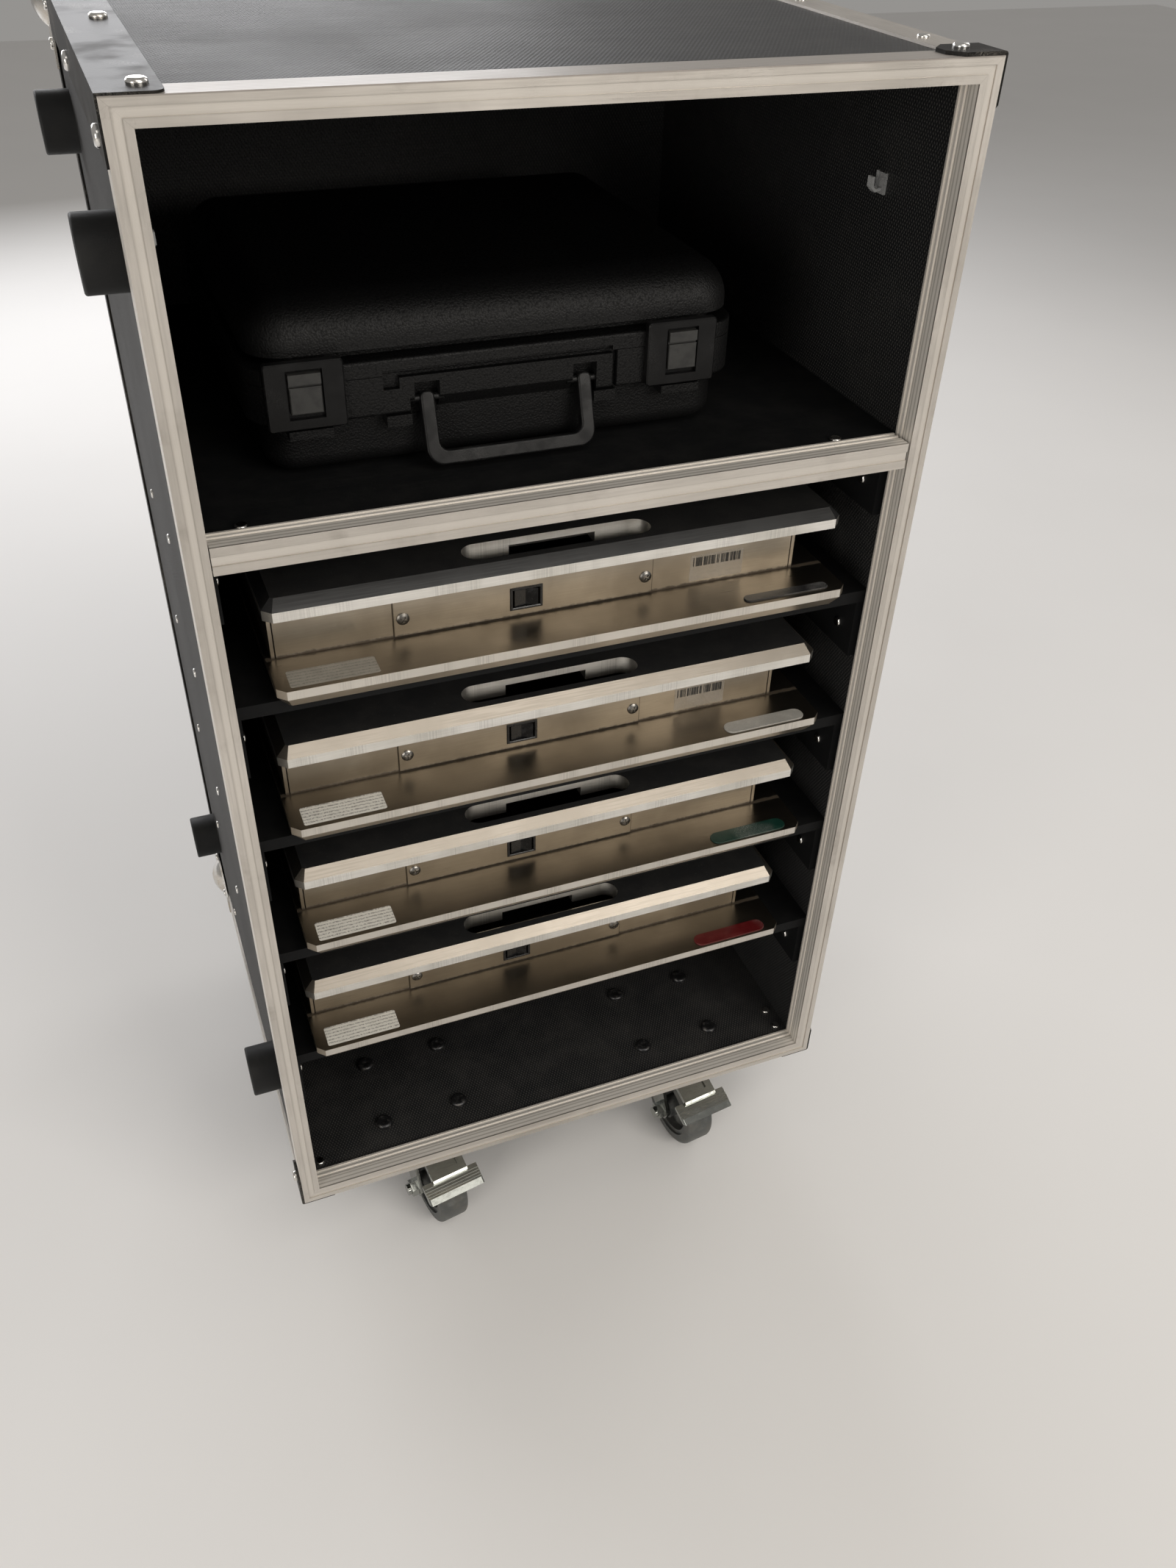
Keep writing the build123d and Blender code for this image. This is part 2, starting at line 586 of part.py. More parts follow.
def pad_deck():
    """Coated deck with the hand slot, and a notch under the slot's rear wall."""
    outline = pad_outline(deck_front)
    plate = bevelled_plate(outline, deck_low, DECK_RIM, PAD_DECK - DECK_RIM, DECK_SLOPE)
    rear = slot_front + SLOT_WIDE
    notch_x = (slot_middle - 29, slot_middle + 29)
    under = block(notch_x, (rear - 4, rear + 12), (deck_low - 1, deck_low + 8))
    return plate - slot_shape(deck_low - 1, PAD_TALL + 1) - under


def switch_hole(y_low, y_high):
    """The rocker's opening, as a solid to take away."""
    half_wide, half_tall = SWITCH_HOLE[0] / 2, SWITCH_HOLE[1] / 2
    x = (SWITCH_X - half_wide, SWITCH_X + half_wide)
    return block(x, (y_low, y_high), (SWITCH_Z - half_tall, SWITCH_Z + half_tall))


def pad_housing():
    """Four walls between the plates; the front one has the finger pocket and the switch plate."""
    left = -PAD_SIDE / 2 + HOUSING_LEFT
    right = left + HOUSING_WIDE
    rear = PAD_FRONT + PAD_SIDE - 8
    front_back = slot_front + SLOT_WIDE + 4
    z = (PAD_BASE, deck_low)
    reach = SLOT_LONG / 2 + 3
    pocket_x = (slot_middle - reach, slot_middle + reach)
    inset = END_PLATE + END_GAP
    front_wall = block((left + inset, right - inset), (housing_front, front_back), z)
    front_wall -= block(pocket_x, (housing_front + 5, front_back + 1), (z[0] + 12, z[1] + 1))
    plate_x = (left + SWITCH_PLATE[0], left + SWITCH_PLATE[1])
    front_wall += block(plate_x, (switch_face, housing_front), (z[0] + 1, z[1] - 0.5))
    front_wall -= switch_hole(0, housing_front + 8)
    pivot = (SWITCH_X, housing_front + SWITCH_PIVOT, SWITCH_Z - ROCKER_TALL / 2 - 1.6)
    front_wall -= rod(1.0 + RUNNING, pivot, (0, 0, 1), ROCKER_TALL + 3.2)
    left_wall = block((left, left + END_PLATE), (housing_front, rear), z)
    left_wall += block((left, left + HOUSING_WALL), (front_back, rear), z)
    right_wall = block((right - END_PLATE, right), (housing_front, rear), z)
    right_wall += block((right - HOUSING_WALL, right), (front_back, rear), z)
    between = (left + HOUSING_WALL, right - HOUSING_WALL)
    rear_wall = block(between, (rear - HOUSING_WALL, rear), z)
    return [front_wall, left_wall, right_wall, rear_wall]


def load_cell(x, y):
    """A plain block where each load cell bears between the plates."""
    return block((x - 35, x + 35), (y - 14, y + 14), (PAD_BASE, deck_low))


def rocker():
    """Two-position rocker on a thin pivot, shaped as a shallow V so that one half stands proud."""
    half, tall = ROCKER_WIDE / 2, ROCKER_TALL / 2
    outline = [
        (-half, switch_face + 0.4), (0, switch_face + 1.4), (half, switch_face - 1.2),
        (half, switch_face + 3), (0, switch_face + 6.5), (-half, switch_face + 5),
    ]
    key = prism_z([(SWITCH_X + x, y) for x, y in outline], SWITCH_Z - tall, SWITCH_Z + tall)
    pivot = (SWITCH_X, housing_front + SWITCH_PIVOT, SWITCH_Z - tall - 1.4)
    return key + rod(1.0, pivot, (0, 0, 1), 2 * tall + 2.8)


for n, (shelf, shift) in enumerate(zip(SHELF_TOPS, PAD_OFFSETS), start=1):
    place = Pos(CASE_W / 2 + shift, 0, shelf + REST_GAP)
    cells = [load_cell(x, y) for x in (-138, 118) for y in (90, 350)]
    pieces[f"pad_{n}_base"] = place * pad_base()
    pieces[f"pad_{n}_deck"] = place * pad_deck()
    pieces[f"pad_{n}_housing"] = place * group(pad_housing() + cells)
    pieces[f"pad_{n}_rocker"] = place * rocker()


# ---- carrying case in the upper bay ----
bag_low = TRIM_LOW + TRIM_TALL + REST_GAP
parting = bag_low + BAG_PARTING
bag_high = bag_low + BAG_TALL


def rounded_box(inset, z, corner, rim=0, top=True):
    """A box this far inside the band, with rounded upright edges and perhaps one rounded rim."""
    x = (BAG_X[0] + inset, BAG_X[1] - inset)
    y = (BAG_Y[0] + inset, BAG_Y[1] - inset)
    solid = fillet(block(x, y, z).edges().filter_by(Axis.Z), corner)
    if rim:
        solid = fillet(solid.edges().group_by(Axis.Z)[-1 if top else 0], rim)
    return solid


def sunk(x, z, deep=CHANNEL_DEEP):
    """A pocket in the front of the band, as a solid to take away; z is above the underside."""
    return block(x, (BAG_Y[0] - 1, BAG_Y[0] + deep), (bag_low + z[0], bag_low + z[1]))


band_low = bag_low + BAG_BAND[0]
band_high = bag_low + BAG_BAND[1]
crown_low = bag_low + BAG_CROWN
corner = 22.0
bag_shell = rounded_box(BAG_INSET, (bag_low, parting), corner - 4, 10.0, top=False)
bag_shell += rounded_box(0, (band_low, parting), corner, 2.0, top=False)
inner_z = (bag_low + BAG_WALL, parting + 5)
bag_shell -= rounded_box(BAG_INSET + BAG_WALL, inner_z, corner - 7, 7.0, top=False)
bag_lid = rounded_box(0, (parting + REST_GAP, band_high), corner, 2.0)
bag_lid += rounded_box(GROOVE_INSET, (parting + REST_GAP, crown_low + 1), corner - 8)
bag_lid += rounded_box(CROWN_INSET, (crown_low, bag_high), corner, 24.0)
inner_z = (parting - 5, bag_high - BAG_WALL)
bag_lid -= rounded_box(GROOVE_INSET + BAG_WALL, inner_z, corner - 6, 14.0)

# The channel over the handle, its turn down at the right and its notch at the left.
channel = sunk(CHANNEL_X, CHANNEL_Z)
bag_lid -= channel
bag_shell -= channel
bag_shell -= sunk((CHANNEL_X[1], CHANNEL_X[1] + 3.2), (28.0, BAG_PARTING + 1))
bag_shell -= sunk((CHANNEL_X[0], CHANNEL_X[0] + 9.5), (46.6, BAG_PARTING + 1))

# Under the band: finger room between the handle's feet, a tab beside each foot, and a lip
# under each latch.
recess_top, recess_low = bag_low + 40.2, bag_low + 30.4
band_front = BAG_Y[0]
finger_room = prism_x(
    [
        (band_front - 1, recess_top), (band_front, recess_top),
        (band_front + BAG_INSET, recess_low), (band_front - 1, recess_low),
    ],
    TAB_X[0][1], TAB_X[1][0],
)
bag_shell -= finger_room
tab_back = band_front + BAG_INSET + 1
for x in TAB_X:
    bag_shell += block(x, (band_front - 2.5, tab_back), (bag_low + 25.5, band_low + 0.3))
for x in LATCH_X:
    lip_x = (x - 11.0, x + 14.0)
    bag_shell += block(lip_x, (band_front - 3.0, tab_back), (bag_low + 24.8, bag_low + 30.0))

handle_x = (HANDLE_X - HANDLE_SPAN / 2, HANDLE_X + HANDLE_SPAN / 2)
pivot_y = band_front + HANDLE_PIVOT[0]
pivot_z = bag_low + HANDLE_PIVOT[1]
for x in handle_x:
    bag_shell -= sunk((x - POCKET, x + POCKET), (28.0, 49.0), BAG_INSET + 0.6)
    bag_shell -= rod(HANDLE_PIN + RUNNING, (x - 11, pivot_y, pivot_z), (1, 0, 0), 22)

# Two hinges behind: a knuckle with a pin on the shell and a bored knuckle on the lid.
hinge_y = BAG_Y[1] + HINGE_R + 0.1
for x in HINGE_X:
    knuckle = rod(HINGE_R, (x - 14, hinge_y, parting), (1, 0, 0), 13.8)
    knuckle += block((x - 14, x - 0.2), (BAG_Y[1] - 1, hinge_y), (parting - HINGE_R, parting))
    bag_shell += knuckle + rod(1.5, (x - 1, hinge_y, parting), (1, 0, 0), 14)
    lid_knuckle = rod(HINGE_R, (x + 0.2, hinge_y, parting), (1, 0, 0), 13.8)
    lid_web_z = (parting + REST_GAP, parting + HINGE_R)
    lid_knuckle += block((x + 0.2, x + 14), (BAG_Y[1] - 1, hinge_y), lid_web_z)
    lid_knuckle -= rod(1.5 + RUNNING, (x - 1, hinge_y, parting), (1, 0, 0), 16)
    bag_lid += lid_knuckle
pieces["briefcase_shell"] = bag_shell
pieces["briefcase_lid"] = bag_lid


def bag_handle():
    """A U of flat bar with round feet and a pin across each; level, reaching forward."""
    bar, thick, bend, foot = HANDLE_BAR, HANDLE_THICK, 5.5, 3.7
    half, reach = HANDLE_SPAN / 2, HANDLE_REACH
    wide, narrow = half + bar / 2, half - bar / 2
    outside = [(-wide, foot), (-wide, -reach), (wide, -reach), (wide, foot)]
    inside = [
        (-narrow, foot + 2), (-narrow, -reach + bar), (narrow, -reach + bar), (narrow, foot + 2),
    ]
    solid = prism_z(outside, -thick / 2, thick / 2)
    hole = prism_z(inside, -thick, thick)
    solid = fillet(solid.edges().filter_by(Axis.Z).sort_by(Axis.Y)[:2], bend + 5)
    hole = fillet(hole.edges().filter_by(Axis.Z).sort_by(Axis.Y)[:2], bend)
    grip = solid - hole
    grip = fillet(grip.edges().filter_by(Axis.Z).sort_by(Axis.Y)[-4:], foot - 0.4)
    grip = fillet(grip.edges().filter_by(Axis.Z, reverse=True), 1.4)
    for side in (-half, half):
        grip += rod(HANDLE_PIN, (side - 10.5, 0, 0), (1, 0, 0), 21)
    return grip


handle_place = Pos(HANDLE_X, pivot_y, pivot_z) * Rot(HANDLE_DROOP, 0, 0)
pieces["briefcase_handle"] = handle_place * bag_handle()

latch_low = bag_low + BAG_BAND[0] - 0.2
latch_z = (latch_low, latch_low + LATCH_TALL)
latch_front = BAG_Y[0] - 5.5
latch_back = BAG_Y[0] - REST_GAP
button_z = (latch_low + 9.5, latch_low + 9.5 + BUTTON_TALL)
window_z = (button_z[0] - BUTTON_TRAVEL - 0.4, button_z[1] + 2.0)
latch_plates = []
for name, x in zip(("left", "right"), LATCH_X):
    plate = block((x - LATCH_WIDE / 2, x + LATCH_WIDE / 2), (latch_front, latch_back), latch_z)
    plate = fillet(plate.edges().filter_by(Axis.Y), 2.0)
    plate = chamfer(plate.faces().sort_by(Axis.Y)[0].edges(), 0.8)
    window_x = (x - BUTTON_WIDE / 2 - 1.2, x + BUTTON_WIDE / 2 + 1.2)
    plate -= block(window_x, (latch_front - 1, latch_front + 3.4), window_z)
    plate += block((x - 15, x + 15), (latch_back - 1, BAG_Y[0]), (latch_low + 6, latch_low + 20))
    latch_plates.append(plate)
    key_x = (x - BUTTON_WIDE / 2, x + BUTTON_WIDE / 2)
    key = block(key_x, (latch_front - 1.2, latch_front + 3.1), button_z)
    split_z = (button_z[1] - 7.5, button_z[1] - 6.0)
    key -= block((x - 15, x + 15), (latch_front - 2, latch_front + 0.8), split_z)
    pieces[f"{name}_latch_button"] = chamfer(key.faces().sort_by(Axis.Y)[0].edges(), 0.5)
pieces["latch_plates"] = group(latch_plates)


# ---- move to the shared origin and write ----
lowest = min(solid.bounding_box().min.Z for solid in pieces.values())
low_x = min(solid.bounding_box().min.X for solid in pieces.values())
high_x = max(solid.bounding_box().max.X for solid in pieces.values())
low_y = min(solid.bounding_box().min.Y for solid in pieces.values())
high_y = max(solid.bounding_box().max.Y for solid in pieces.values())
ORIGIN = ((low_x + high_x) / 2, (low_y + high_y) / 2, lowest)
os.makedirs("parts", exist_ok=True)
to_origin = Pos(-ORIGIN[0], -ORIGIN[1], -ORIGIN[2])
for name, solid in pieces.items():
    export_step(group([to_origin * part for part in solid.solids()]), f"parts/{name}.step")
print("origin in building coordinates", ORIGIN, "nodes", len(pieces))
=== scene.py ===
import math

import bmesh
import bpy
from mathutils import Euler, Matrix, Vector


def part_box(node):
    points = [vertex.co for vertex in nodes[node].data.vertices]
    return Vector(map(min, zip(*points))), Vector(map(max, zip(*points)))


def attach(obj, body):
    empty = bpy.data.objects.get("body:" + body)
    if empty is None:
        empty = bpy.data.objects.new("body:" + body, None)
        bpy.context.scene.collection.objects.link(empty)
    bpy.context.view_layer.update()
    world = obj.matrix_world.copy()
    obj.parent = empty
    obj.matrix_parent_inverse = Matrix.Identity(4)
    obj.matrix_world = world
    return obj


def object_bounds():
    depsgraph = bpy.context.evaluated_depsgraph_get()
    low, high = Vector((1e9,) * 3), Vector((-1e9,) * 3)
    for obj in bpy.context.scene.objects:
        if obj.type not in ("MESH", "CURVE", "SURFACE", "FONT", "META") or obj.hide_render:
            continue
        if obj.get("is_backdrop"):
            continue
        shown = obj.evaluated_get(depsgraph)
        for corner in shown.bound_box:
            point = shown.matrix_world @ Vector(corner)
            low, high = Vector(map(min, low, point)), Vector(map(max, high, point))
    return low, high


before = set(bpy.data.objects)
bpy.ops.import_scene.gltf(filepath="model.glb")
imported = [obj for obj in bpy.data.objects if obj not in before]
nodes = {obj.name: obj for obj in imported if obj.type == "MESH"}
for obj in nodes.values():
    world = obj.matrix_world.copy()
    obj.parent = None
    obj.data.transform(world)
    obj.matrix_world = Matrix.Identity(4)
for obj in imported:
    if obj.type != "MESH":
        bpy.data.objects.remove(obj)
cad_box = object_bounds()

MM = 0.001
PADS = (1, 2, 3, 4)


# ---- wiring helpers ----
class Wires:
    """Adds nodes to one tree and joins them; a value may be a number or another node's socket."""

    def __init__(self, tree):
        self.tree = tree

    def put(self, socket, value):
        if isinstance(value, bpy.types.NodeSocket):
            self.tree.links.new(value, socket)
        else:
            socket.default_value = value

    def add(self, kind, inputs=None, **settings):
        node = self.tree.nodes.new(kind)
        for name, value in settings.items():
            setattr(node, name, value)
        for key, value in (inputs or {}).items():
            self.put(node.inputs[key], value)
        return node

    def maths(self, operation, *values, clamp=False):
        node = self.add("ShaderNodeMath", operation=operation, use_clamp=clamp)
        for socket, value in zip(node.inputs, values):
            self.put(socket, value)
        return node.outputs[0]

    def scale(self, vector, factors):
        node = self.add("ShaderNodeVectorMath", operation="MULTIPLY")
        self.put(node.inputs[0], vector)
        self.put(node.inputs[1], factors)
        return node.outputs[0]

    def split(self, vector):
        return self.add("ShaderNodeSeparateXYZ", {"Vector": vector}).outputs

    def vector(self, x, y, z):
        return self.add("ShaderNodeCombineXYZ", {"X": x, "Y": y, "Z": z}).outputs[0]

    def between(self, value, low, high, first=0.0, last=1.0):
        settings = {"Value": value, "From Min": low, "From Max": high, "To Min": first, "To Max": last}
        return self.add("ShaderNodeMapRange", settings, interpolation_type="SMOOTHSTEP").outputs["Result"]

    def noise(self, vector, scale, detail=2.0, rough=0.5):
        settings = {"Vector": vector, "Scale": scale, "Detail": detail, "Roughness": rough}
        return self.add("ShaderNodeTexNoise", settings).outputs[0]

    def mix(self, amount, first, second):
        node = self.add("ShaderNodeMix", data_type="RGBA")
        self.put(node.inputs[0], amount)
        self.put(node.inputs[6], first)
        self.put(node.inputs[7], second)
        return node.outputs[2]

    def lerp(self, amount, first, second):
        node = self.add("ShaderNodeMix", data_type="FLOAT")
        self.put(node.inputs[0], amount)
        self.put(node.inputs[2], first)
        self.put(node.inputs[3], second)
        return node.outputs[0]

    def group(self, tree, **inputs):
        named = {key.replace("_", " "): value for key, value in inputs.items()}
        return self.add("ShaderNodeGroup", named, node_tree=tree).outputs


def rgb(red, green, blue):
    return (red, green, blue, 1.0)


def shader_group(name, inputs, outputs):
    """An empty shader group with named sockets, its wires and its two ends."""
    tree = bpy.data.node_groups.new(name, "ShaderNodeTree")
    for label, kind, value in inputs:
        socket = tree.interface.new_socket(name=label, in_out="INPUT", socket_type=kind)
        if value is not None:
            socket.default_value = value
    for label, kind in outputs:
        tree.interface.new_socket(name=label, in_out="OUTPUT", socket_type=kind)
    wires = Wires(tree)
    start = wires.add("NodeGroupInput").outputs
    end = wires.add("NodeGroupOutput").inputs
    return tree, wires, start, end


VECTOR, NUMBER = "NodeSocketVector", "NodeSocketFloat"


# ---- effects that several finishes share ----
def drawn_lines():
    """Fine lines that a die or brush leaves, run along whichever axis the stretch leaves small."""
    tree, w, start, end = shader_group(
        "drawn lines",
        [("Position", VECTOR, None), ("Stretch", VECTOR, (20.0, 900.0, 900.0))],
        [("Lines", NUMBER), ("Fine", NUMBER)],
    )
    along = w.scale(start["Position"], start["Stretch"])
    coarse = w.noise(along, 1.0, 2.0, 0.6)
    fine = w.noise(w.scale(along, (1.7, 3.1, 3.1)), 1.0, 1.0, 0.5)
    w.put(end["Lines"], w.between(coarse, 0.36, 0.66))
    w.put(end["Fine"], fine)
    return tree


def soft_blotches():
    """Large cloudy patches, from 0 to 1, for handling marks, haze and uneven sheen."""
    tree, w, start, end = shader_group(
        "soft blotches",
        [("Position", VECTOR, None), ("Scale", NUMBER, 12.0), ("Low", NUMBER, 0.4), ("High", NUMBER, 0.65)],
        [("Amount", NUMBER)],
    )
    cloud = w.noise(start["Position"], start["Scale"], 4.0, 0.55)
    w.put(end["Amount"], w.between(cloud, start["Low"], start["High"]))
    return tree


def pebbled_skin():
    """The leather-like pebbles of moulded plastic: a height, and a mask of the creases between them."""
    tree, w, start, end = shader_group(
        "pebbled skin",
        [("Position", VECTOR, None), ("Scale", NUMBER, 620.0)],
        [("Height", NUMBER), ("Crease", NUMBER)],
    )
    bend_scale = w.maths("MULTIPLY", start["Scale"], 0.6)
    bend = w.add("ShaderNodeTexNoise", {"Vector": start["Position"], "Scale": bend_scale})
    shift = w.scale(bend.outputs[1], (0.0009, 0.0009, 0.0009))
    moved = w.add("ShaderNodeVectorMath", operation="ADD")
    w.put(moved.inputs[0], start["Position"])
    w.put(moved.inputs[1], shift)
    settings = {"Vector": moved.outputs[0], "Scale": start["Scale"]}
    cells = w.add("ShaderNodeTexVoronoi", settings, feature="SMOOTH_F1")
    cells.inputs["Smoothness"].default_value = 0.7
    dome = w.maths("SUBTRACT", 1.0, cells.outputs["Distance"])
    w.put(end["Height"], dome)
    w.put(end["Crease"], w.between(cells.outputs["Distance"], 0.45, 0.8))
    return tree


def settled_dust():
    """Thin dust where a face looks up, thicker in clouds."""
    tree, w, start, end = shader_group(
        "settled dust",
        [("Position", VECTOR, None), ("Normal", VECTOR, None), ("Amount", NUMBER, 0.3)],
        [("Dust", NUMBER)],
    )
    upward = w.between(w.split(start["Normal"])["Z"], 0.5, 0.95)
    cloud = w.between(w.noise(start["Position"], 45.0, 5.0, 0.65), 0.35, 0.75)
    dust = w.maths("MULTIPLY", w.maths("MULTIPLY", upward, cloud), start["Amount"])
    w.put(end["Dust"], dust)
    return tree


def stray_scratches():
    """Thin, sparse scratches that cross each other."""
    tree, w, start, end = shader_group(
        "stray scratches",
        [("Position", VECTOR, None), ("Scale", NUMBER, 40.0), ("Share", NUMBER, 0.06)],
        [("Scratch", NUMBER)],
    )
    total = None
    for turn, seed in ((0.5, 0.0), (-0.9, 3.7)):
        spun = w.add("ShaderNodeMapping", {
            "Vector": start["Position"], "Rotation": (0.3, turn, turn), "Location": (seed, 0, 0),
        })
        long = w.noise(w.scale(spun.outputs[0], (1.0, 30.0, 30.0)), start["Scale"], 1.0, 0.4)
        line = w.between(w.maths("ABSOLUTE", w.maths("SUBTRACT", long, 0.5)), 0.0, start["Share"], 1.0, 0.0)
        patch = w.between(w.noise(spun.outputs[0], 22.0), 0.55, 0.68)
        line = w.maths("MULTIPLY", line, patch)
        total = line if total is None else w.maths("MAXIMUM", total, line)
    w.put(end["Scratch"], total)
    return tree


def cutter_marks():
    """Upright chatter that a milling cutter leaves on a plate's edge, in bunches along its length."""
    tree, w, start, end = shader_group(
        "cutter marks",
        [("Position", VECTOR, None), ("Pitch", NUMBER, 650.0), ("Seed", NUMBER, 0.0)],
        [("Mark", NUMBER), ("Bunch", NUMBER)],
    )
    place = w.split(start["Position"])
    run = w.maths("ADD", w.maths("ADD", place["X"], place["Y"]), start["Seed"])
    line = w.add("ShaderNodeCombineXYZ", {"X": run}).outputs[0]
    fine = w.between(w.noise(line, start["Pitch"], 1.0, 0.3), 0.35, 0.65)
    slow = w.between(w.noise(line, 32.0, 2.0, 0.6), 0.46, 0.58)
    w.put(end["Mark"], w.maths("MULTIPLY", fine, slow))
    w.put(end["Bunch"], slow)
    return tree


def wire_mesh():
    """The dimples that a wire screen presses into phenolic film: a slanted lattice on a side."""
    tree, w, start, end = shader_group(
        "wire mesh print",
        [("Along", NUMBER, None), ("Up", NUMBER, None), ("Pitch", NUMBER, 0.0026)],
        [("Height", NUMBER)],
    )
    total = None
    for across, rise in ((1.0, 0.62), (1.0, -0.62)):
        along = w.maths("MULTIPLY", start["Along"], across)
        run = w.maths("ADD", along, w.maths("MULTIPLY", start["Up"], rise))
        wave = w.maths("SINE", w.maths("MULTIPLY", w.maths("DIVIDE", run, start["Pitch"]), 2 * math.pi))
        wave = w.between(wave, -0.6, 0.8)
        total = wave if total is None else w.maths("MULTIPLY", total, wave)
    w.put(end["Height"], total)
    return tree


def rule_lines():
    """A thin line wherever a value comes close to a level."""
    tree, w, start, end = shader_group(
        "rule lines",
        [("Value", NUMBER, None), ("Level", NUMBER, 0.0), ("Half width", NUMBER, 0.0003)],
        [("Line", NUMBER)],
    )
    gap = w.maths("ABSOLUTE", w.maths("SUBTRACT", start["Value"], start["Level"]))
    w.put(end["Line"], w.between(gap, 0.0, start["Half width"], 1.0, 0.0))
    return tree


LINES = drawn_lines()
MESH_PRINT = wire_mesh()
RULE = rule_lines()
BLOTCHES = soft_blotches()
PEBBLES = pebbled_skin()
DUST = settled_dust()
SCRATCHES = stray_scratches()
CUTTER = cutter_marks()


class Finish:
    """A material being made: its wires, its shader and the place and direction of each point."""

    def __init__(self, name):
        self.material = bpy.data.materials.new(name)
        self.material.use_nodes = True
        self.w = Wires(self.material.node_tree)
        self.shader = self.material.node_tree.nodes["Principled BSDF"]
        coordinates = self.w.add("ShaderNodeTexCoord")
        self.position = coordinates.outputs["Object"]
        self.normal = coordinates.outputs["Normal"]

    def set(self, **values):
        for key, value in values.items():
            self.w.put(self.shader.inputs[key.replace("_", " ")], value)
        return self

    def bump(self, height, strength, distance):
        node = self.w.add("ShaderNodeBump", {"Height": height, "Strength": strength, "Distance": distance})
        self.w.put(self.shader.inputs["Normal"], node.outputs[0])
        return self

    def lines(self, stretch):
        return self.w.group(LINES, Position=self.position, Stretch=stretch)

    def blotches(self, scale, low=0.4, high=0.65):
        return self.w.group(BLOTCHES, Position=self.position, Scale=scale, Low=low, High=high)["Amount"]

    def dust(self, amount):
        return self.w.group(DUST, Position=self.position, Normal=self.normal, Amount=amount)["Dust"]

    def scratches(self, scale=40.0, share=0.05):
        return self.w.group(SCRATCHES, Position=self.position, Scale=scale, Share=share)["Scratch"]


# ---- finishes ----
def black_laminate(name, across, relief):
    """Phenolic film on plywood: black, with a pressed wire mesh whose ridges are painted lighter as a
    painted highlight, and haze.
    """
    f = Finish(name)
    w = f.w
    place = w.split(f.position)
    mesh = w.group(MESH_PRINT, Along=place[across[0]], Up=place[across[1]])["Height"]
    grain = w.noise(f.position, 700.0, 2.0, 0.6)
    streak = w.noise(w.scale(f.position, (9.0, 420.0, 420.0)), 1.0, 3.0, 0.6)
    haze = f.blotches(9.0, 0.35, 0.75)
    dust = f.dust(0.12)
    colour = w.mix(haze, rgb(0.0065, 0.007, 0.008), rgb(0.0095, 0.0098, 0.0102))
    # The mesh ridges are painted lighter: a painted highlight on the pressed dimples.
    colour = w.mix(w.maths("MULTIPLY", mesh, 0.8), colour, rgb(0.05, 0.0475, 0.044))
    colour = w.mix(w.maths("MULTIPLY", f.scratches(30.0, 0.04), 0.3), colour, rgb(0.08, 0.075, 0.07))
    colour = w.mix(dust, colour, rgb(0.1, 0.092, 0.085))
    rough = w.maths("ADD", w.lerp(haze, 0.42, 0.48), w.maths("MULTIPLY", grain, 0.1))
    rough = w.maths("ADD", rough, w.maths("MULTIPLY", streak, 0.12))
    rough = w.maths("ADD", rough, w.maths("MULTIPLY", mesh, 0.16))
    f.set(Base_Color=colour, Roughness=rough)
    height = w.maths("ADD", mesh, w.maths("MULTIPLY", grain, 0.3))
    return f.bump(height, relief, 0.0012).material


def painted_board():
    """Plywood shelf painted matt black, with the grain just showing."""
    f = Finish("shelf matt black")
    w = f.w
    grain = w.noise(w.scale(f.position, (18.0, 420.0, 420.0)), 1.0, 4.0, 0.6)
    stipple = w.noise(f.position, 1100.0, 2.0, 0.6)
    dust = f.dust(0.1)
    colour = w.mix(grain, rgb(0.0035, 0.0038, 0.0042), rgb(0.006, 0.0062, 0.0066))
    colour = w.mix(dust, colour, rgb(0.045, 0.042, 0.038))
    f.set(Base_Color=colour, Roughness=w.lerp(grain, 0.6, 0.74), Specular_IOR_Level=0.15)
    return f.bump(w.maths("ADD", grain, w.maths("MULTIPLY", stipple, 0.5)), 0.2, 0.0004).material


ALUMINIUM_LIGHT, ALUMINIUM_DARK = rgb(0.70, 0.66, 0.61), rgb(0.55, 0.515, 0.47)
# CREVICE is the dark of joint lines, and on the frame's grooves it is painted shade.
CREVICE = rgb(0.045, 0.038, 0.03)


RIB_PITCH = 3.3 * MM


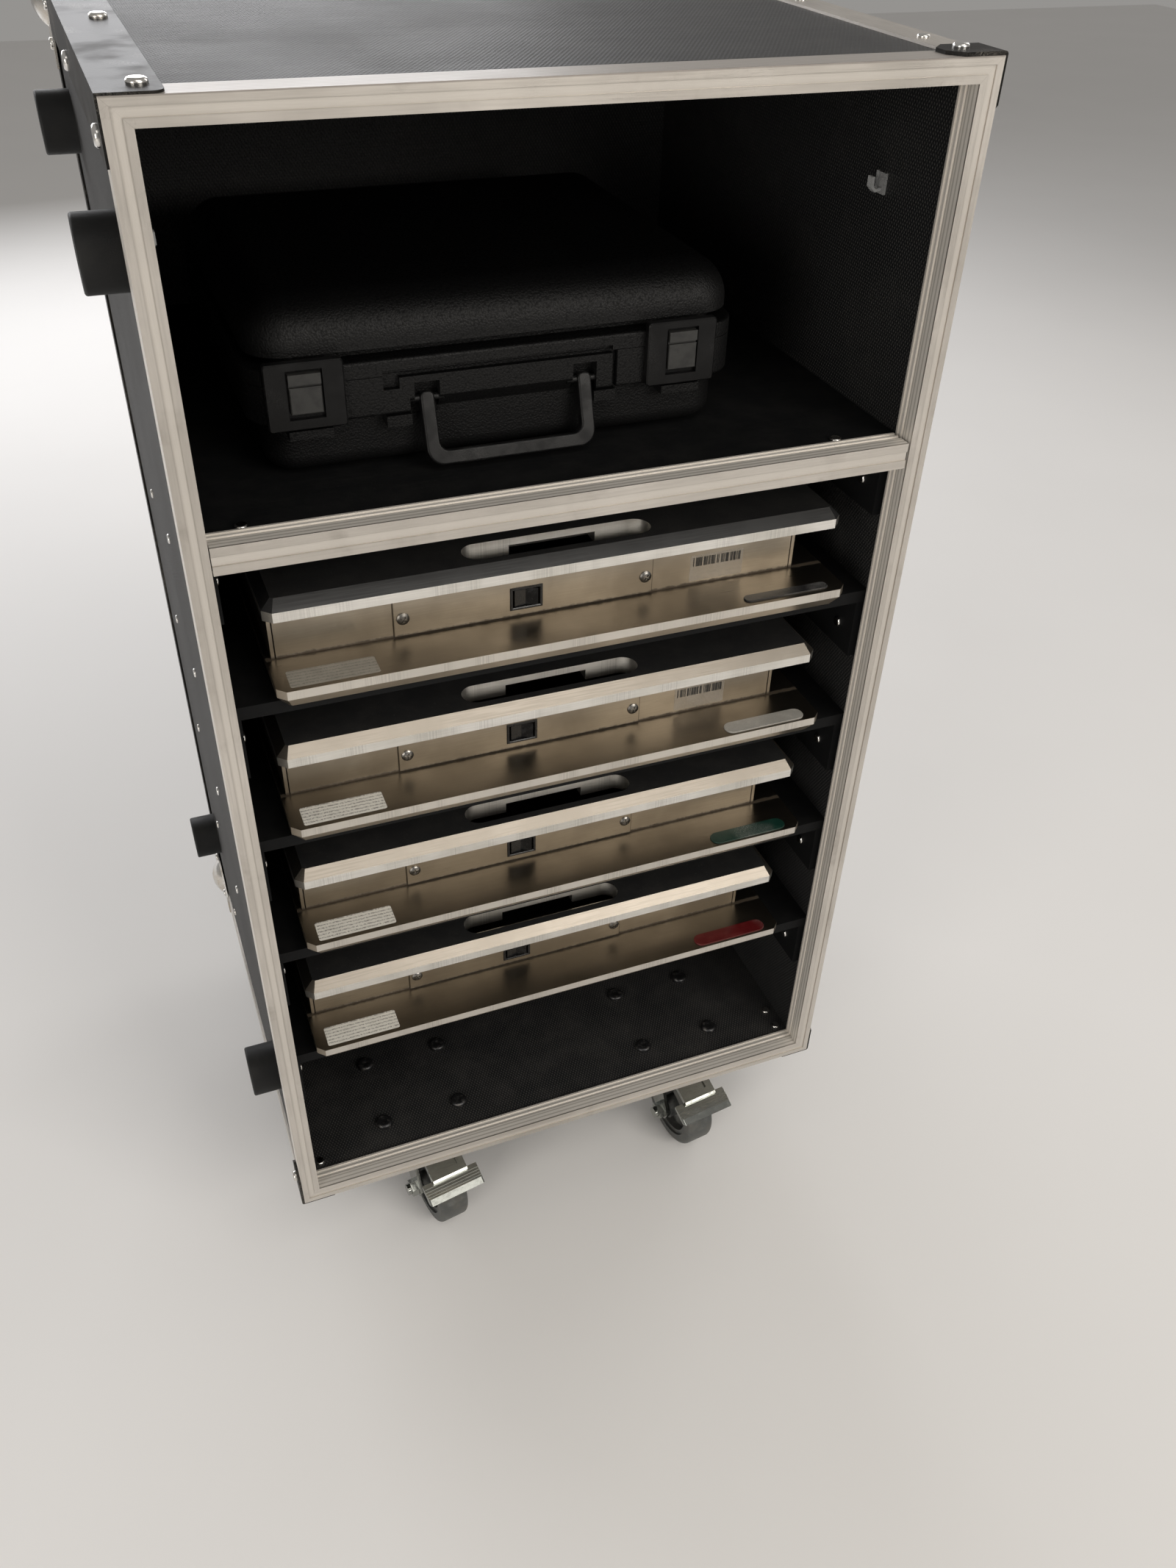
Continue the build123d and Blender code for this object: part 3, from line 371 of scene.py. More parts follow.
def extruded_aluminium(name, stretch, seams=(), front=None, cap=None):
    """Mill-finish extrusion: die lines along its length, dull patches, painted shade along its grooves and a
    dark line at its mitre joint.

    Each seam is a socket maker, the level at which its dark line runs and its half width. Faces
    deeper than front are the ribbed inner flange, painted lighter and less metallic as a painted highlight,
    with painted shade in its ribs; faces above cap are the outer flange, painted darker as painted shade."""
    f = Finish(name)
    w = f.w
    lines = f.lines(stretch)
    patch = f.blotches(7.0, 0.35, 0.7)
    grime = f.blotches(38.0, 0.56, 0.8)
    scratch = f.scratches(34.0, 0.05)
    colour = w.mix(patch, ALUMINIUM_DARK, ALUMINIUM_LIGHT)
    colour = w.mix(w.maths("MULTIPLY", lines["Lines"], 0.22), colour, rgb(0.44, 0.415, 0.38))
    colour = w.mix(w.maths("MULTIPLY", grime, 0.3), colour, rgb(0.2, 0.17, 0.14))
    shade = None
    for value, level, width in seams:
        line = w.group(RULE, Value=value(f), Level=level, Half_width=width)["Line"]
        shade = line if shade is None else w.maths("MAXIMUM", shade, line)
    if shade is not None:
        uneven = w.between(w.noise(f.position, 60.0, 3.0, 0.6), 0.25, 0.6, 0.55, 1.0)
        shade = w.maths("MULTIPLY", shade, uneven)
        # Groove edges are painted dark as painted shade; the mitre line is a dark joint.
        colour = w.mix(w.maths("MULTIPLY", shade, 0.16), colour, CREVICE)
    metal, ribs = 1.0, 0.0
    if front is not None:
        depth = w.maths("SUBTRACT", w.split(f.position)["Y"], front)
        inner = w.between(depth, 0.5 * MM, 1.0 * MM)
        wave = w.maths("SINE", w.maths("MULTIPLY", depth, 2 * math.pi / RIB_PITCH))
        ribs = w.maths("MULTIPLY", w.between(wave, -0.2, 0.9), inner)
        # Faces behind the front are painted near-white and less metallic, a painted highlight; the rib
        # troughs are then painted darker, painted shade.
        colour = w.mix(w.maths("MULTIPLY", inner, 0.75), colour, rgb(0.86, 0.82, 0.76))
        colour = w.mix(w.maths("MULTIPLY", ribs, 0.55), colour, rgb(0.34, 0.31, 0.275))
        metal = w.lerp(inner, 1.0, 0.3)
    if cap is not None:
        # The rail's top face is painted darker: painted shade, not a different finish.
        dull = w.between(w.split(f.position)["Z"], cap - 1.0 * MM, cap - 0.5 * MM)
        colour = w.mix(w.maths("MULTIPLY", dull, 0.7), colour, rgb(0.3, 0.27, 0.25))
    rough = w.lerp(lines["Fine"], 0.34, 0.48)
    rough = w.maths("ADD", rough, w.maths("MULTIPLY", patch, 0.07))
    rough = w.maths("SUBTRACT", rough, w.maths("MULTIPLY", scratch, 0.12))
    height = w.maths("ADD", lines["Fine"], w.maths("MULTIPLY", scratch, -0.8))
    height = w.maths("SUBTRACT", height, w.maths("MULTIPLY", ribs, 1.5))
    f.set(Base_Color=colour, Roughness=rough, Metallic=metal)
    return f.bump(height, 0.1, 0.0003).material


def black_powder_coat():
    """Glossy black coat on steel braces, rubbed in places down to a brownish bloom."""
    f = Finish("brace black coat")
    w = f.w
    bloom = f.blotches(26.0, 0.45, 0.75)
    orange_peel = w.noise(f.position, 900.0, 2.0, 0.5)
    scratch = f.scratches(46.0, 0.06)
    colour = w.mix(bloom, rgb(0.008, 0.0078, 0.0075), rgb(0.022, 0.018, 0.014))
    colour = w.mix(w.maths("MULTIPLY", scratch, 0.5), colour, rgb(0.3, 0.28, 0.25))
    f.set(Base_Color=colour, Roughness=w.lerp(bloom, 0.42, 0.56), Metallic=w.maths("MULTIPLY", scratch, 0.5))
    f.set(Specular_IOR_Level=0.12)
    return f.bump(w.maths("ADD", orange_peel, w.maths("MULTIPLY", scratch, -0.5)), 0.1, 0.0004).material


def bright_plate(name, clean, warm, dull):
    """Nickel or zinc plate on small hardware, with finger haze and pin-prick pits."""
    f = Finish(name)
    w = f.w
    haze = f.blotches(60.0, 0.4, 0.7)
    pits = w.between(w.noise(f.position, 1500.0, 2.0, 0.7), 0.62, 0.75)
    colour = w.mix(haze, clean, warm)
    colour = w.mix(w.maths("MULTIPLY", pits, 0.5), colour, rgb(0.3, 0.27, 0.23))
    f.set(Base_Color=colour, Metallic=1.0, Roughness=w.lerp(haze, dull, dull + 0.16))
    return f.bump(pits, 0.15, 0.0003).material


def black_oxide():
    """Dark oxide on bolt heads with rubbed corners."""
    f = Finish("bolt dark oxide")
    w = f.w
    rub = f.blotches(220.0, 0.5, 0.75)
    colour = w.mix(rub, rgb(0.05, 0.05, 0.052), rgb(0.2, 0.19, 0.18))
    f.set(Base_Color=colour, Metallic=0.85, Roughness=w.lerp(rub, 0.38, 0.55))
    return f.bump(rub, 0.1, 0.0003).material


def matt_rubber():
    """Dense black rubber of the side feet, greyed where it has been rubbed."""
    f = Finish("foot rubber")
    w = f.w
    bloom = f.blotches(70.0, 0.42, 0.72)
    grain = w.noise(f.position, 1600.0, 3.0, 0.7)
    dust = f.dust(0.12)
    colour = w.mix(bloom, rgb(0.005, 0.0053, 0.0056), rgb(0.012, 0.012, 0.0117))
    colour = w.mix(dust, colour, rgb(0.1, 0.094, 0.08))
    f.set(Base_Color=colour, Roughness=w.lerp(bloom, 0.55, 0.72), Specular_IOR_Level=0.35)
    return f.bump(grain, 0.25, 0.0004).material


def clear_plastic():
    """Clear moulded hook, slightly cloudy."""
    f = Finish("hook clear plastic")
    w = f.w
    cloud = f.blotches(240.0, 0.35, 0.75)
    colour = w.mix(cloud, rgb(0.75, 0.76, 0.77), rgb(0.55, 0.56, 0.56))
    f.set(Base_Color=colour, Roughness=w.lerp(cloud, 0.08, 0.22), Alpha=w.lerp(cloud, 0.32, 0.5))
    f.set(Specular_IOR_Level=0.7)
    f.material.surface_render_method = "BLENDED"
    return f.bump(cloud, 0.05, 0.0003).material


def zinc_plate():
    """Zinc-plated pressed steel of the casters, with a faint bloom and road dirt."""
    f = Finish("caster zinc plate")
    w = f.w
    spangle = w.add("ShaderNodeTexVoronoi", {"Vector": f.position, "Scale": 260.0}).outputs["Color"]
    tone = w.split(spangle)["X"]
    dirt = f.blotches(55.0, 0.5, 0.75)
    colour = w.mix(w.maths("MULTIPLY", tone, 0.3), rgb(0.31, 0.32, 0.3), rgb(0.4, 0.41, 0.38))
    colour = w.mix(w.maths("MULTIPLY", dirt, 0.25), colour, rgb(0.13, 0.12, 0.1))
    rough = w.maths("ADD", w.lerp(tone, 0.13, 0.17), w.maths("MULTIPLY", dirt, 0.12))
    f.set(Base_Color=colour, Metallic=w.lerp(dirt, 1.0, 0.85), Roughness=rough)
    ripple = w.noise(f.position, 90.0, 2.0, 0.5)
    fine = w.maths("MULTIPLY", w.noise(f.position, 1100.0), 0.06)
    return f.bump(w.maths("ADD", ripple, fine), 0.12, 0.002).material


def moulded_grey(name, dark, light, rough, dirt_share):
    """Grey wheel centre or tread with scuffs and ground-in dust."""
    f = Finish(name)
    w = f.w
    scuff = f.blotches(130.0, 0.45, 0.7)
    dirt = f.blotches(48.0, 0.4, 0.75)
    colour = w.mix(scuff, dark, light)
    colour = w.mix(w.maths("MULTIPLY", dirt, dirt_share), colour, rgb(0.21, 0.18, 0.14))
    f.set(Base_Color=colour, Roughness=w.lerp(scuff, rough, rough + 0.2))
    return f.bump(w.noise(f.position, 900.0, 3.0, 0.65), 0.2, 0.0004).material


def gloss_black(name, rough=0.18):
    """Moulded black plastic with a light polish."""
    f = Finish(name)
    w = f.w
    haze = f.blotches(180.0, 0.4, 0.7)
    colour = w.mix(haze, rgb(0.008, 0.008, 0.0085), rgb(0.016, 0.016, 0.0165))
    f.set(Base_Color=colour, Roughness=w.lerp(haze, rough, rough + 0.18))
    return f.bump(w.noise(f.position, 1900.0), 0.06, 0.0003).material


def pebbled_plastic():
    """Moulded black plastic of the carrying case, with painted shade in the creases between its pebbles and
    on its upward faces.
    """
    f = Finish("carrying case pebbled")
    w = f.w
    skin = w.group(PEBBLES, Position=f.position, Scale=880.0)
    haze = f.blotches(16.0, 0.35, 0.7)
    # The creases between pebbles are painted darker: painted shade.
    colour = w.mix(skin["Crease"], rgb(0.006, 0.006, 0.0062), rgb(0.0016, 0.0016, 0.0018))
    colour = w.mix(w.maths("MULTIPLY", haze, 0.25), colour, rgb(0.009, 0.009, 0.0087))
    # Faces that look up are painted darker and given less specular: painted shade under the shelf above.
    upward = w.between(w.split(f.normal)["Z"], 0.2, 0.9)
    colour = w.mix(w.maths("MULTIPLY", upward, 0.6), colour, rgb(0.0015, 0.0015, 0.0016))
    f.set(Base_Color=colour, Roughness=w.lerp(skin["Crease"], 0.46, 0.66))
    f.set(Specular_IOR_Level=w.lerp(upward, 0.2, 0.04))
    return f.bump(skin["Height"], 0.5, 0.0006).material


def smooth_fitting():
    """Smooth black plastic of latches and handle, rubbed bright at the touch points."""
    f = Finish("carrying case fittings")
    w = f.w
    rub = f.blotches(95.0, 0.42, 0.7)
    scratch = f.scratches(60.0, 0.05)
    colour = w.mix(rub, rgb(0.003, 0.003, 0.0032), rgb(0.006, 0.006, 0.0062))
    colour = w.mix(w.maths("MULTIPLY", scratch, 0.4), colour, rgb(0.08, 0.08, 0.08))
    f.set(Base_Color=colour, Roughness=w.lerp(rub, 0.38, 0.52), Specular_IOR_Level=0.22)
    return f.bump(w.noise(f.position, 1300.0), 0.1, 0.0003).material


def worn_button():
    """The latch buttons, greyer than the plates round them from years of thumbs."""
    f = Finish("latch button worn")
    w = f.w
    rub = f.blotches(140.0, 0.3, 0.6)
    stipple = w.noise(f.position, 1500.0, 2.0, 0.6)
    colour = w.mix(rub, rgb(0.013, 0.013, 0.0127), rgb(0.026, 0.026, 0.0245))
    f.set(Base_Color=colour, Roughness=w.lerp(stipple, 0.45, 0.6))
    return f.bump(stipple, 0.15, 0.0003).material


def pad_metal(n, base, wall, plate):
    """Machined and brushed billet of one pad, with chatter and a painted highlight on the base's rim,
    painted shade on faces that look up, dirt along the seam where the wall meets the base, and dark joints
    at the ends of the switch plate.

    base, wall and plate hold the base's rim levels, the wall's place and the plate's ends."""
    f = Finish(f"pad {n} brushed plate")
    w = f.w
    x, y, z = w.split(f.position)
    front = w.between(w.maths("ABSOLUTE", w.split(f.normal)["Y"]), 0.6, 0.95)
    lines = f.lines((26.0, 700.0, 1100.0))
    cut = w.group(CUTTER, Position=f.position, Pitch=900.0, Seed=0.37 * n)
    cloud = f.blotches(15.0, 0.34, 0.7)
    bloom = f.blotches(75.0, 0.56, 0.76)
    colour = w.mix(cloud, rgb(0.46, 0.405, 0.33), rgb(0.33, 0.285, 0.225))
    colour = w.mix(w.maths("MULTIPLY", lines["Lines"], 0.22), colour, rgb(0.3, 0.27, 0.225))
    colour = w.mix(w.maths("MULTIPLY", bloom, 0.18), colour, rgb(0.34, 0.29, 0.22))
    below_top = w.between(z, base["top"] - 0.0004, base["top"], 1.0, 0.0)
    above_bevel = w.between(z, base["bevel"] - 0.0002, base["bevel"] + 0.0002)
    rim = w.maths("MULTIPLY", front, w.maths("MULTIPLY", below_top, above_bevel))
    marks = w.maths("MULTIPLY", rim, cut["Mark"])
    # The base's front rim is painted lighter: a painted highlight.
    colour = w.mix(w.maths("MULTIPLY", rim, 0.5), colour, rgb(0.86, 0.84, 0.8))
    colour = w.mix(w.maths("MULTIPLY", marks, 0.28), colour, rgb(0.2, 0.185, 0.165))
    # Faces that look up are painted dark: painted shade, standing for the dark shelf underside they face.
    upward = w.between(w.split(f.normal)["Z"], 0.7, 0.95)
    colour = w.mix(w.maths("MULTIPLY", upward, 0.72), colour, rgb(0.1, 0.09, 0.075))
    above = w.maths("ABSOLUTE", w.maths("SUBTRACT", z, base["top"]))
    ahead = w.maths("ABSOLUTE", w.maths("SUBTRACT", y, wall["front"]))
    reach = w.maths("MAXIMUM", above, ahead)
    ragged = w.maths("ADD", reach, w.maths("MULTIPLY", w.noise(f.position, 210.0, 4.0, 0.7), -0.0034))
    seam = w.between(ragged, -0.0012, 0.0006, 1.0, 0.0)
    colour = w.mix(w.maths("MULTIPLY", seam, 0.9), colour, rgb(0.05, 0.033, 0.018))
    for end in plate:
        joint = w.group(RULE, Value=x, Level=end, Half_width=0.0007)["Line"]
        on_wall = w.maths("MULTIPLY", front, w.between(z, base["top"], base["top"] + 0.0004))
        colour = w.mix(w.maths("MULTIPLY", w.maths("MULTIPLY", joint, on_wall), 0.85), colour, CREVICE)
    rough = w.lerp(lines["Fine"], 0.24, 0.36)
    rough = w.maths("ADD", rough, w.maths("MULTIPLY", cloud, 0.08))
    rough = w.maths("ADD", rough, w.maths("MULTIPLY", seam, 0.4))
    height = w.maths("ADD", lines["Fine"], w.maths("MULTIPLY", marks, -0.4))
    f.set(Base_Color=colour, Metallic=w.lerp(seam, 1.0, 0.3), Roughness=rough)
    return f.bump(height, 0.1, 0.0003).material


def pad_deck_metal(n, bevel_light, bevel_dark, bevel_metallic):
    """One pad's deck: gritty black coat on top, a bevel in the given colours (bare metal on pads 2 to 4, a
    near-black painted reflection on pad 1), and a bare cut rim.
    """
    f = Finish(f"pad {n} deck")
    w = f.w
    up = w.split(f.normal)["Z"]
    upward = w.between(up, 0.86, 0.97)
    bevel = w.maths("MULTIPLY", w.between(up, 0.45, 0.6), w.maths("SUBTRACT", 1.0, upward))
    grit = w.noise(f.position, 1400.0, 3.0, 0.7)
    speck = w.between(w.noise(f.position, 700.0, 2.0, 0.6), 0.66, 0.74)
    cut = w.group(CUTTER, Position=f.position, Pitch=950.0, Seed=0.61 * n)
    lines = f.lines((30.0, 900.0, 1200.0))
    cloud = f.blotches(20.0, 0.34, 0.7)
    bare = w.mix(cloud, rgb(0.84, 0.82, 0.78), rgb(0.7, 0.68, 0.63))
    bare = w.mix(w.maths("MULTIPLY", lines["Lines"], 0.2), bare, rgb(0.45, 0.43, 0.4))
    flank = w.maths("SUBTRACT", 1.0, w.maths("MAXIMUM", bevel, upward))
    marks = w.maths("MULTIPLY", flank, cut["Mark"])
    bare = w.mix(w.maths("MULTIPLY", marks, 0.22), bare, rgb(0.2, 0.19, 0.175))
    # On pad 1 the bevel colours are a painted dark reflection, not a coat.
    slope = w.mix(w.maths("MAXIMUM", cloud, lines["Lines"]), bevel_light, bevel_dark)
    bare = w.mix(bevel, bare, slope)
    black = w.mix(speck, rgb(0.008, 0.008, 0.0085), rgb(0.04, 0.039, 0.037))
    black = w.mix(f.dust(0.1), black, rgb(0.1, 0.092, 0.08))
    colour = w.mix(upward, bare, black)
    rough = w.lerp(upward, w.lerp(lines["Fine"], 0.28, 0.42), w.lerp(grit, 0.6, 0.8))
    cut_height = w.maths("ADD", w.maths("MULTIPLY", lines["Fine"], 0.3), w.maths("MULTIPLY", marks, -0.3))
    metallic = w.lerp(upward, w.lerp(bevel, 1.0, bevel_metallic), 0.0)
    f.set(Base_Color=colour, Metallic=metallic, Roughness=rough)
    return f.bump(w.lerp(upward, cut_height, grit), 0.18, 0.0005).material


def printed_paper(name, colour, ink, rows):
    """A printed sticker: paper, and rows of soft grey dashes that stand for small print."""
    f = Finish(name)
    w = f.w
    cloud = f.blotches(110.0, 0.35, 0.75)
    y = w.split(f.position)["Y"]
    dashes = w.between(w.noise(w.scale(f.position, (1300.0, 1700.0, 1.0)), 1.0, 1.0, 0.5), 0.46, 0.54)
    row = w.maths("FRACT", w.maths("MULTIPLY", y, rows))
    line = w.maths("MULTIPLY", w.between(row, 0.3, 0.36), w.between(row, 0.72, 0.78, 1.0, 0.0))
    paper = w.mix(w.maths("MULTIPLY", cloud, 0.35), colour, tuple(0.7 * c for c in colour[:3]) + (1.0,))
    print_mask = w.maths("MULTIPLY", w.maths("MULTIPLY", dashes, line), 0.75)
    f.set(Base_Color=w.mix(print_mask, paper, ink), Roughness=w.lerp(cloud, 0.42, 0.6))
    return f.bump(cloud, 0.04, 0.0002).material


def tag_plastic(name, colour, light):
    """A glossy coloured tag with a worn surface."""
    f = Finish(name)
    w = f.w
    wear = f.blotches(150.0, 0.45, 0.72)
    scratch = f.scratches(70.0, 0.06)
    tone = w.mix(w.maths("MULTIPLY", wear, 0.5), colour, light)
    tone = w.mix(w.maths("MULTIPLY", scratch, 0.4), tone, rgb(0.55, 0.54, 0.52))
    f.set(Base_Color=tone, Roughness=w.lerp(wear, 0.28, 0.48))
    return f.bump(w.noise(f.position, 1000.0), 0.05, 0.0002).material


def flat_ink(name, colour, rough=0.5):
    """Printed or moulded-in ink, a little uneven."""
    f = Finish(name)
    w = f.w
    uneven = w.noise(f.position, 800.0, 2.0, 0.6)
    faded = tuple(0.55 * c + 0.02 for c in colour[:3]) + (1.0,)
    tone = w.mix(w.between(uneven, 0.4, 0.7), colour, faded)
    f.set(Base_Color=tone, Roughness=w.lerp(uneven, rough, rough + 0.15))
    return f.material


def clear_film():
    """The see-through sticker under the bars."""
    f = Finish("bar label film")
    w = f.w
    haze = f.blotches(90.0, 0.35, 0.75)
    f.set(Base_Color=w.mix(haze, rgb(0.5, 0.455, 0.39), rgb(0.58, 0.53, 0.46)))
    f.set(Roughness=w.lerp(haze, 0.3, 0.45), Alpha=w.lerp(haze, 0.2, 0.3))
    f.material.surface_render_method = "BLENDED"
    return f.material


frame_low, frame_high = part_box("frame_left")[0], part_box("frame_right")[1]
trim_low, trim_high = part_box("divider_trim")


def in_from_side(f):
    """How far a point is from the nearer outer side of the frame."""
    w = f.w
    half = (frame_high.x - frame_low.x) / 2
    offset = w.maths("SUBTRACT", w.split(f.position)["X"], (frame_high.x + frame_low.x) / 2)
    return w.maths("SUBTRACT", half, w.maths("ABSOLUTE", offset))


def in_from_end(f):
    """How far a point is from the nearer of the frame's top and bottom."""
    w = f.w
    half = (frame_high.z - frame_low.z) / 2
    offset = w.maths("SUBTRACT", w.split(f.position)["Z"], (frame_high.z + frame_low.z) / 2)
    return w.maths("SUBTRACT", half, w.maths("ABSOLUTE", offset))


def off_mitre(f):
    """How far a point is from the 45 degree joint at its corner."""
    return f.w.maths("SUBTRACT", in_from_side(f), in_from_end(f))


def height_of(f):
    return f.w.split(f.position)["Z"]


GROOVES = (4.3 * MM, 8.7 * MM)
GROOVE_HALF = 0.7 * MM
MITRE = (off_mitre, 0.0, 0.4 * MM)
SIDE_LAMINATE = black_laminate("side laminate", ("Y", "Z"), 0.9)
TOP_LAMINATE = black_laminate("top laminate", ("X", "Y"), 0.25)
BACK_LAMINATE = black_laminate("back laminate", ("X", "Z"), 0.5)
SHELF_PAINT = painted_board()
RAIL_METAL = extruded_aluminium("frame rail aluminium", (22.0, 700.0, 700.0),
                                [MITRE] + [(in_from_end, level, GROOVE_HALF) for level in GROOVES],
                                frame_low.y, frame_high.z)
POST_METAL = extruded_aluminium("frame post aluminium", (700.0, 700.0, 22.0),
                                [MITRE] + [(in_from_side, level, GROOVE_HALF) for level in GROOVES],
                                frame_low.y)
trim_step = (trim_high.z - trim_low.z) / 3
TRIM_METAL = extruded_aluminium("divider trim aluminium", (22.0, 700.0, 700.0),
                                [(height_of, trim_low.z + k * trim_step, GROOVE_HALF) for k in (1, 2)],
                                trim_low.y)
EDGE_METAL = extruded_aluminium("edge angle aluminium", (700.0, 22.0, 700.0))
BRACE_COAT = black_powder_coat()
BALL_NICKEL = bright_plate("ball corner nickel", rgb(0.8, 0.79, 0.77), rgb(0.62, 0.56, 0.47), 0.16)
RIVET_PLATE = bright_plate("rivet bright zinc", rgb(0.8, 0.79, 0.77), rgb(0.7, 0.67, 0.62), 0.14)
SCREW_STEEL = bright_plate("plate screw steel", rgb(0.26, 0.25, 0.235), rgb(0.15, 0.14, 0.12), 0.26)
BOLT_OXIDE = black_oxide()
FOOT_RUBBER = matt_rubber()
HOOK_CLEAR = clear_plastic()
ZINC = zinc_plate()
HUB_GREY = moulded_grey("wheel centre grey", rgb(0.055, 0.058, 0.057), rgb(0.11, 0.114, 0.11), 0.4, 0.2)
TREAD_GREY = moulded_grey("wheel tread grey", rgb(0.06, 0.064, 0.062), rgb(0.105, 0.11, 0.106), 0.45, 0.25)
ROCKER_BLACK = gloss_black("switch black", 0.2)
BEZEL_BLACK = gloss_black("switch bezel black", 0.26)
CASE_PEBBLE = pebbled_plastic()
CASE_FITTING = smooth_fitting()
LATCH_BUTTON = worn_button()
PAPER = printed_paper("pad label paper", rgb(0.78, 0.76, 0.7), rgb(0.1, 0.09, 0.08), 330.0)
OLD_PAPER = printed_paper("worn pad label paper", rgb(0.3, 0.28, 0.24), rgb(0.15, 0.14, 0.12), 330.0)
BAR_INK = flat_ink("bar black ink", rgb(0.014, 0.013, 0.012))
FILM = clear_film()
TAGS = {
    1: tag_plastic("tag black", rgb(0.012, 0.012, 0.013), rgb(0.04, 0.04, 0.04)),
    2: tag_plastic("tag pale grey", rgb(0.3, 0.29, 0.265), rgb(0.42, 0.4, 0.37)),
    3: tag_plastic("tag green", rgb(0.006, 0.03, 0.022), rgb(0.012, 0.05, 0.035)),
    4: tag_plastic("tag red", rgb(0.085, 0.006, 0.007), rgb(0.14, 0.016, 0.015)),
}


def give(material, *names):
    """Puts one finish on CAD nodes."""
    for name in names:
        nodes[name].data.materials.clear()
        nodes[name].data.materials.append(material)


give(SIDE_LAMINATE, "left_panel", "right_panel")
give(TOP_LAMINATE, "top_panel", "floor_panel")
give(BACK_LAMINATE, "back_panel")
give(SHELF_PAINT, "divider_shelf", "pad_shelves", "shelf_cleats")
give(RAIL_METAL, "frame_top", "frame_bottom")
give(TRIM_METAL, "divider_trim")
give(POST_METAL, "frame_left", "frame_right")
give(EDGE_METAL, "edge_angles")
give(BRACE_COAT, "rear_edging", "top_left_brace", "corner_braces")
give(BALL_NICKEL, "ball_corners")
give(RIVET_PLATE, "rivets", "screws")
give(BOLT_OXIDE, "caster_bolts")
give(FOOT_RUBBER, "bumpers")
give(HOOK_CLEAR, "wall_hooks")
give(ZINC, "caster_plates", "caster_1_pedal", "caster_2_pedal")
give(CASE_PEBBLE, "briefcase_shell", "briefcase_lid")
give(CASE_FITTING, "briefcase_handle", "latch_plates")
give(LATCH_BUTTON, "left_latch_button", "right_latch_button")
for n in (1, 2, 3, 4):
    give(ZINC, f"caster_{n}_fork")
    give(HUB_GREY, f"caster_{n}_hub")
    give(TREAD_GREY, f"caster_{n}_tyre")
BASE_RIM = 6.0 * MM
SWITCH_PLATE_PROUD = 1.2 * MM
SWITCH_PLATE_ENDS = (76.0 * MM, 250.0 * MM)
# Bevel colours and metallic share: pad 1's bevel is painted near-black and barely metallic, a painted
# reflection of the shadowed divider underside; the other pads' bevels are bare metal.
BEVELS = {
    "painted_dark_reflection": (rgb(0.018, 0.0185, 0.019), rgb(0.034, 0.0345, 0.035), 0.2),
    "bare": (rgb(0.36, 0.325, 0.28), rgb(0.3, 0.27, 0.23), 1.0),
}
for n in PADS:
    base_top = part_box(f"pad_{n}_base")[1].z
    wall_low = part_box(f"pad_{n}_housing")[0]
    rim = {"top": base_top, "bevel": base_top - BASE_RIM}
    plate_ends = [wall_low.x + end for end in SWITCH_PLATE_ENDS]
    billet = pad_metal(n, rim, {"front": wall_low.y + SWITCH_PLATE_PROUD}, plate_ends)
    give(billet, f"pad_{n}_base", f"pad_{n}_housing")
    give(pad_deck_metal(n, *BEVELS["painted_dark_reflection" if n == 1 else "bare"]), f"pad_{n}_deck")
    give(ROCKER_BLACK, f"pad_{n}_rocker")


# ---- mesh helpers ----
def new_piece(name, mesh, body, slot, *materials):
    """Links a mesh as a piece that rides on a body."""
    piece = bpy.data.objects.new(name, mesh)
    bpy.context.scene.collection.objects.link(piece)
    for material in materials:
        mesh.materials.append(material)
    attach(piece, body)
    return piece


def mesh_of(bm, name):
    """Turns a finished bmesh into a mesh with its faces pointing out."""
    bmesh.ops.recalc_face_normals(bm, faces=bm.faces)
    mesh = bpy.data.meshes.new(name)
    bm.to_mesh(mesh)
    bm.free()
    return mesh


def rounded_slab(bm, centre, size, corner, bevel=0.0, material=0, steps=4):
    """A slab with rounded upright corners: size and centre are (x, y, z); its thickness is along Z."""
    half_x, half_y = size[0] / 2 - corner, size[1] / 2 - corner
    ring = []
    for quarter, (sx, sy) in enumerate(((1, 1), (-1, 1), (-1, -1), (1, -1))):
        for k in range(steps + 1):
            a = math.pi / 2 * (quarter + k / steps)
            ring.append((sx * half_x + corner * math.cos(a), sy * half_y + corner * math.sin(a)))
    levels = [(-size[2] / 2, 0.0), (size[2] / 2 - bevel, 0.0)]
    if bevel:
        levels.append((size[2] / 2, bevel))
    rows = []
    for z, inset in levels:
        row = []
        for x, y in ring:
            length = math.hypot(x, y) or 1.0
            place = (
                centre[0] + x - inset * x / length,
                centre[1] + y - inset * y / length,
                centre[2] + z,
            )
            row.append(bm.verts.new(place))
        rows.append(row)
    faces = [bm.faces.new(rows[0][::-1]), bm.faces.new(rows[-1])]
    count = len(ring)
    for low, high in zip(rows, rows[1:]):
        for i in range(count):
            after = (i + 1) % count
            faces.append(bm.faces.new((low[i], low[after], high[after], high[i])))
    for face in faces:
        face.material_index = material
    return faces


def turned(bm, matrix, start=0):
    """Moves what has been added to a bmesh since a vertex count."""
    bm.verts.ensure_lookup_table()
    bmesh.ops.transform(bm, matrix=matrix, verts=bm.verts[start:])


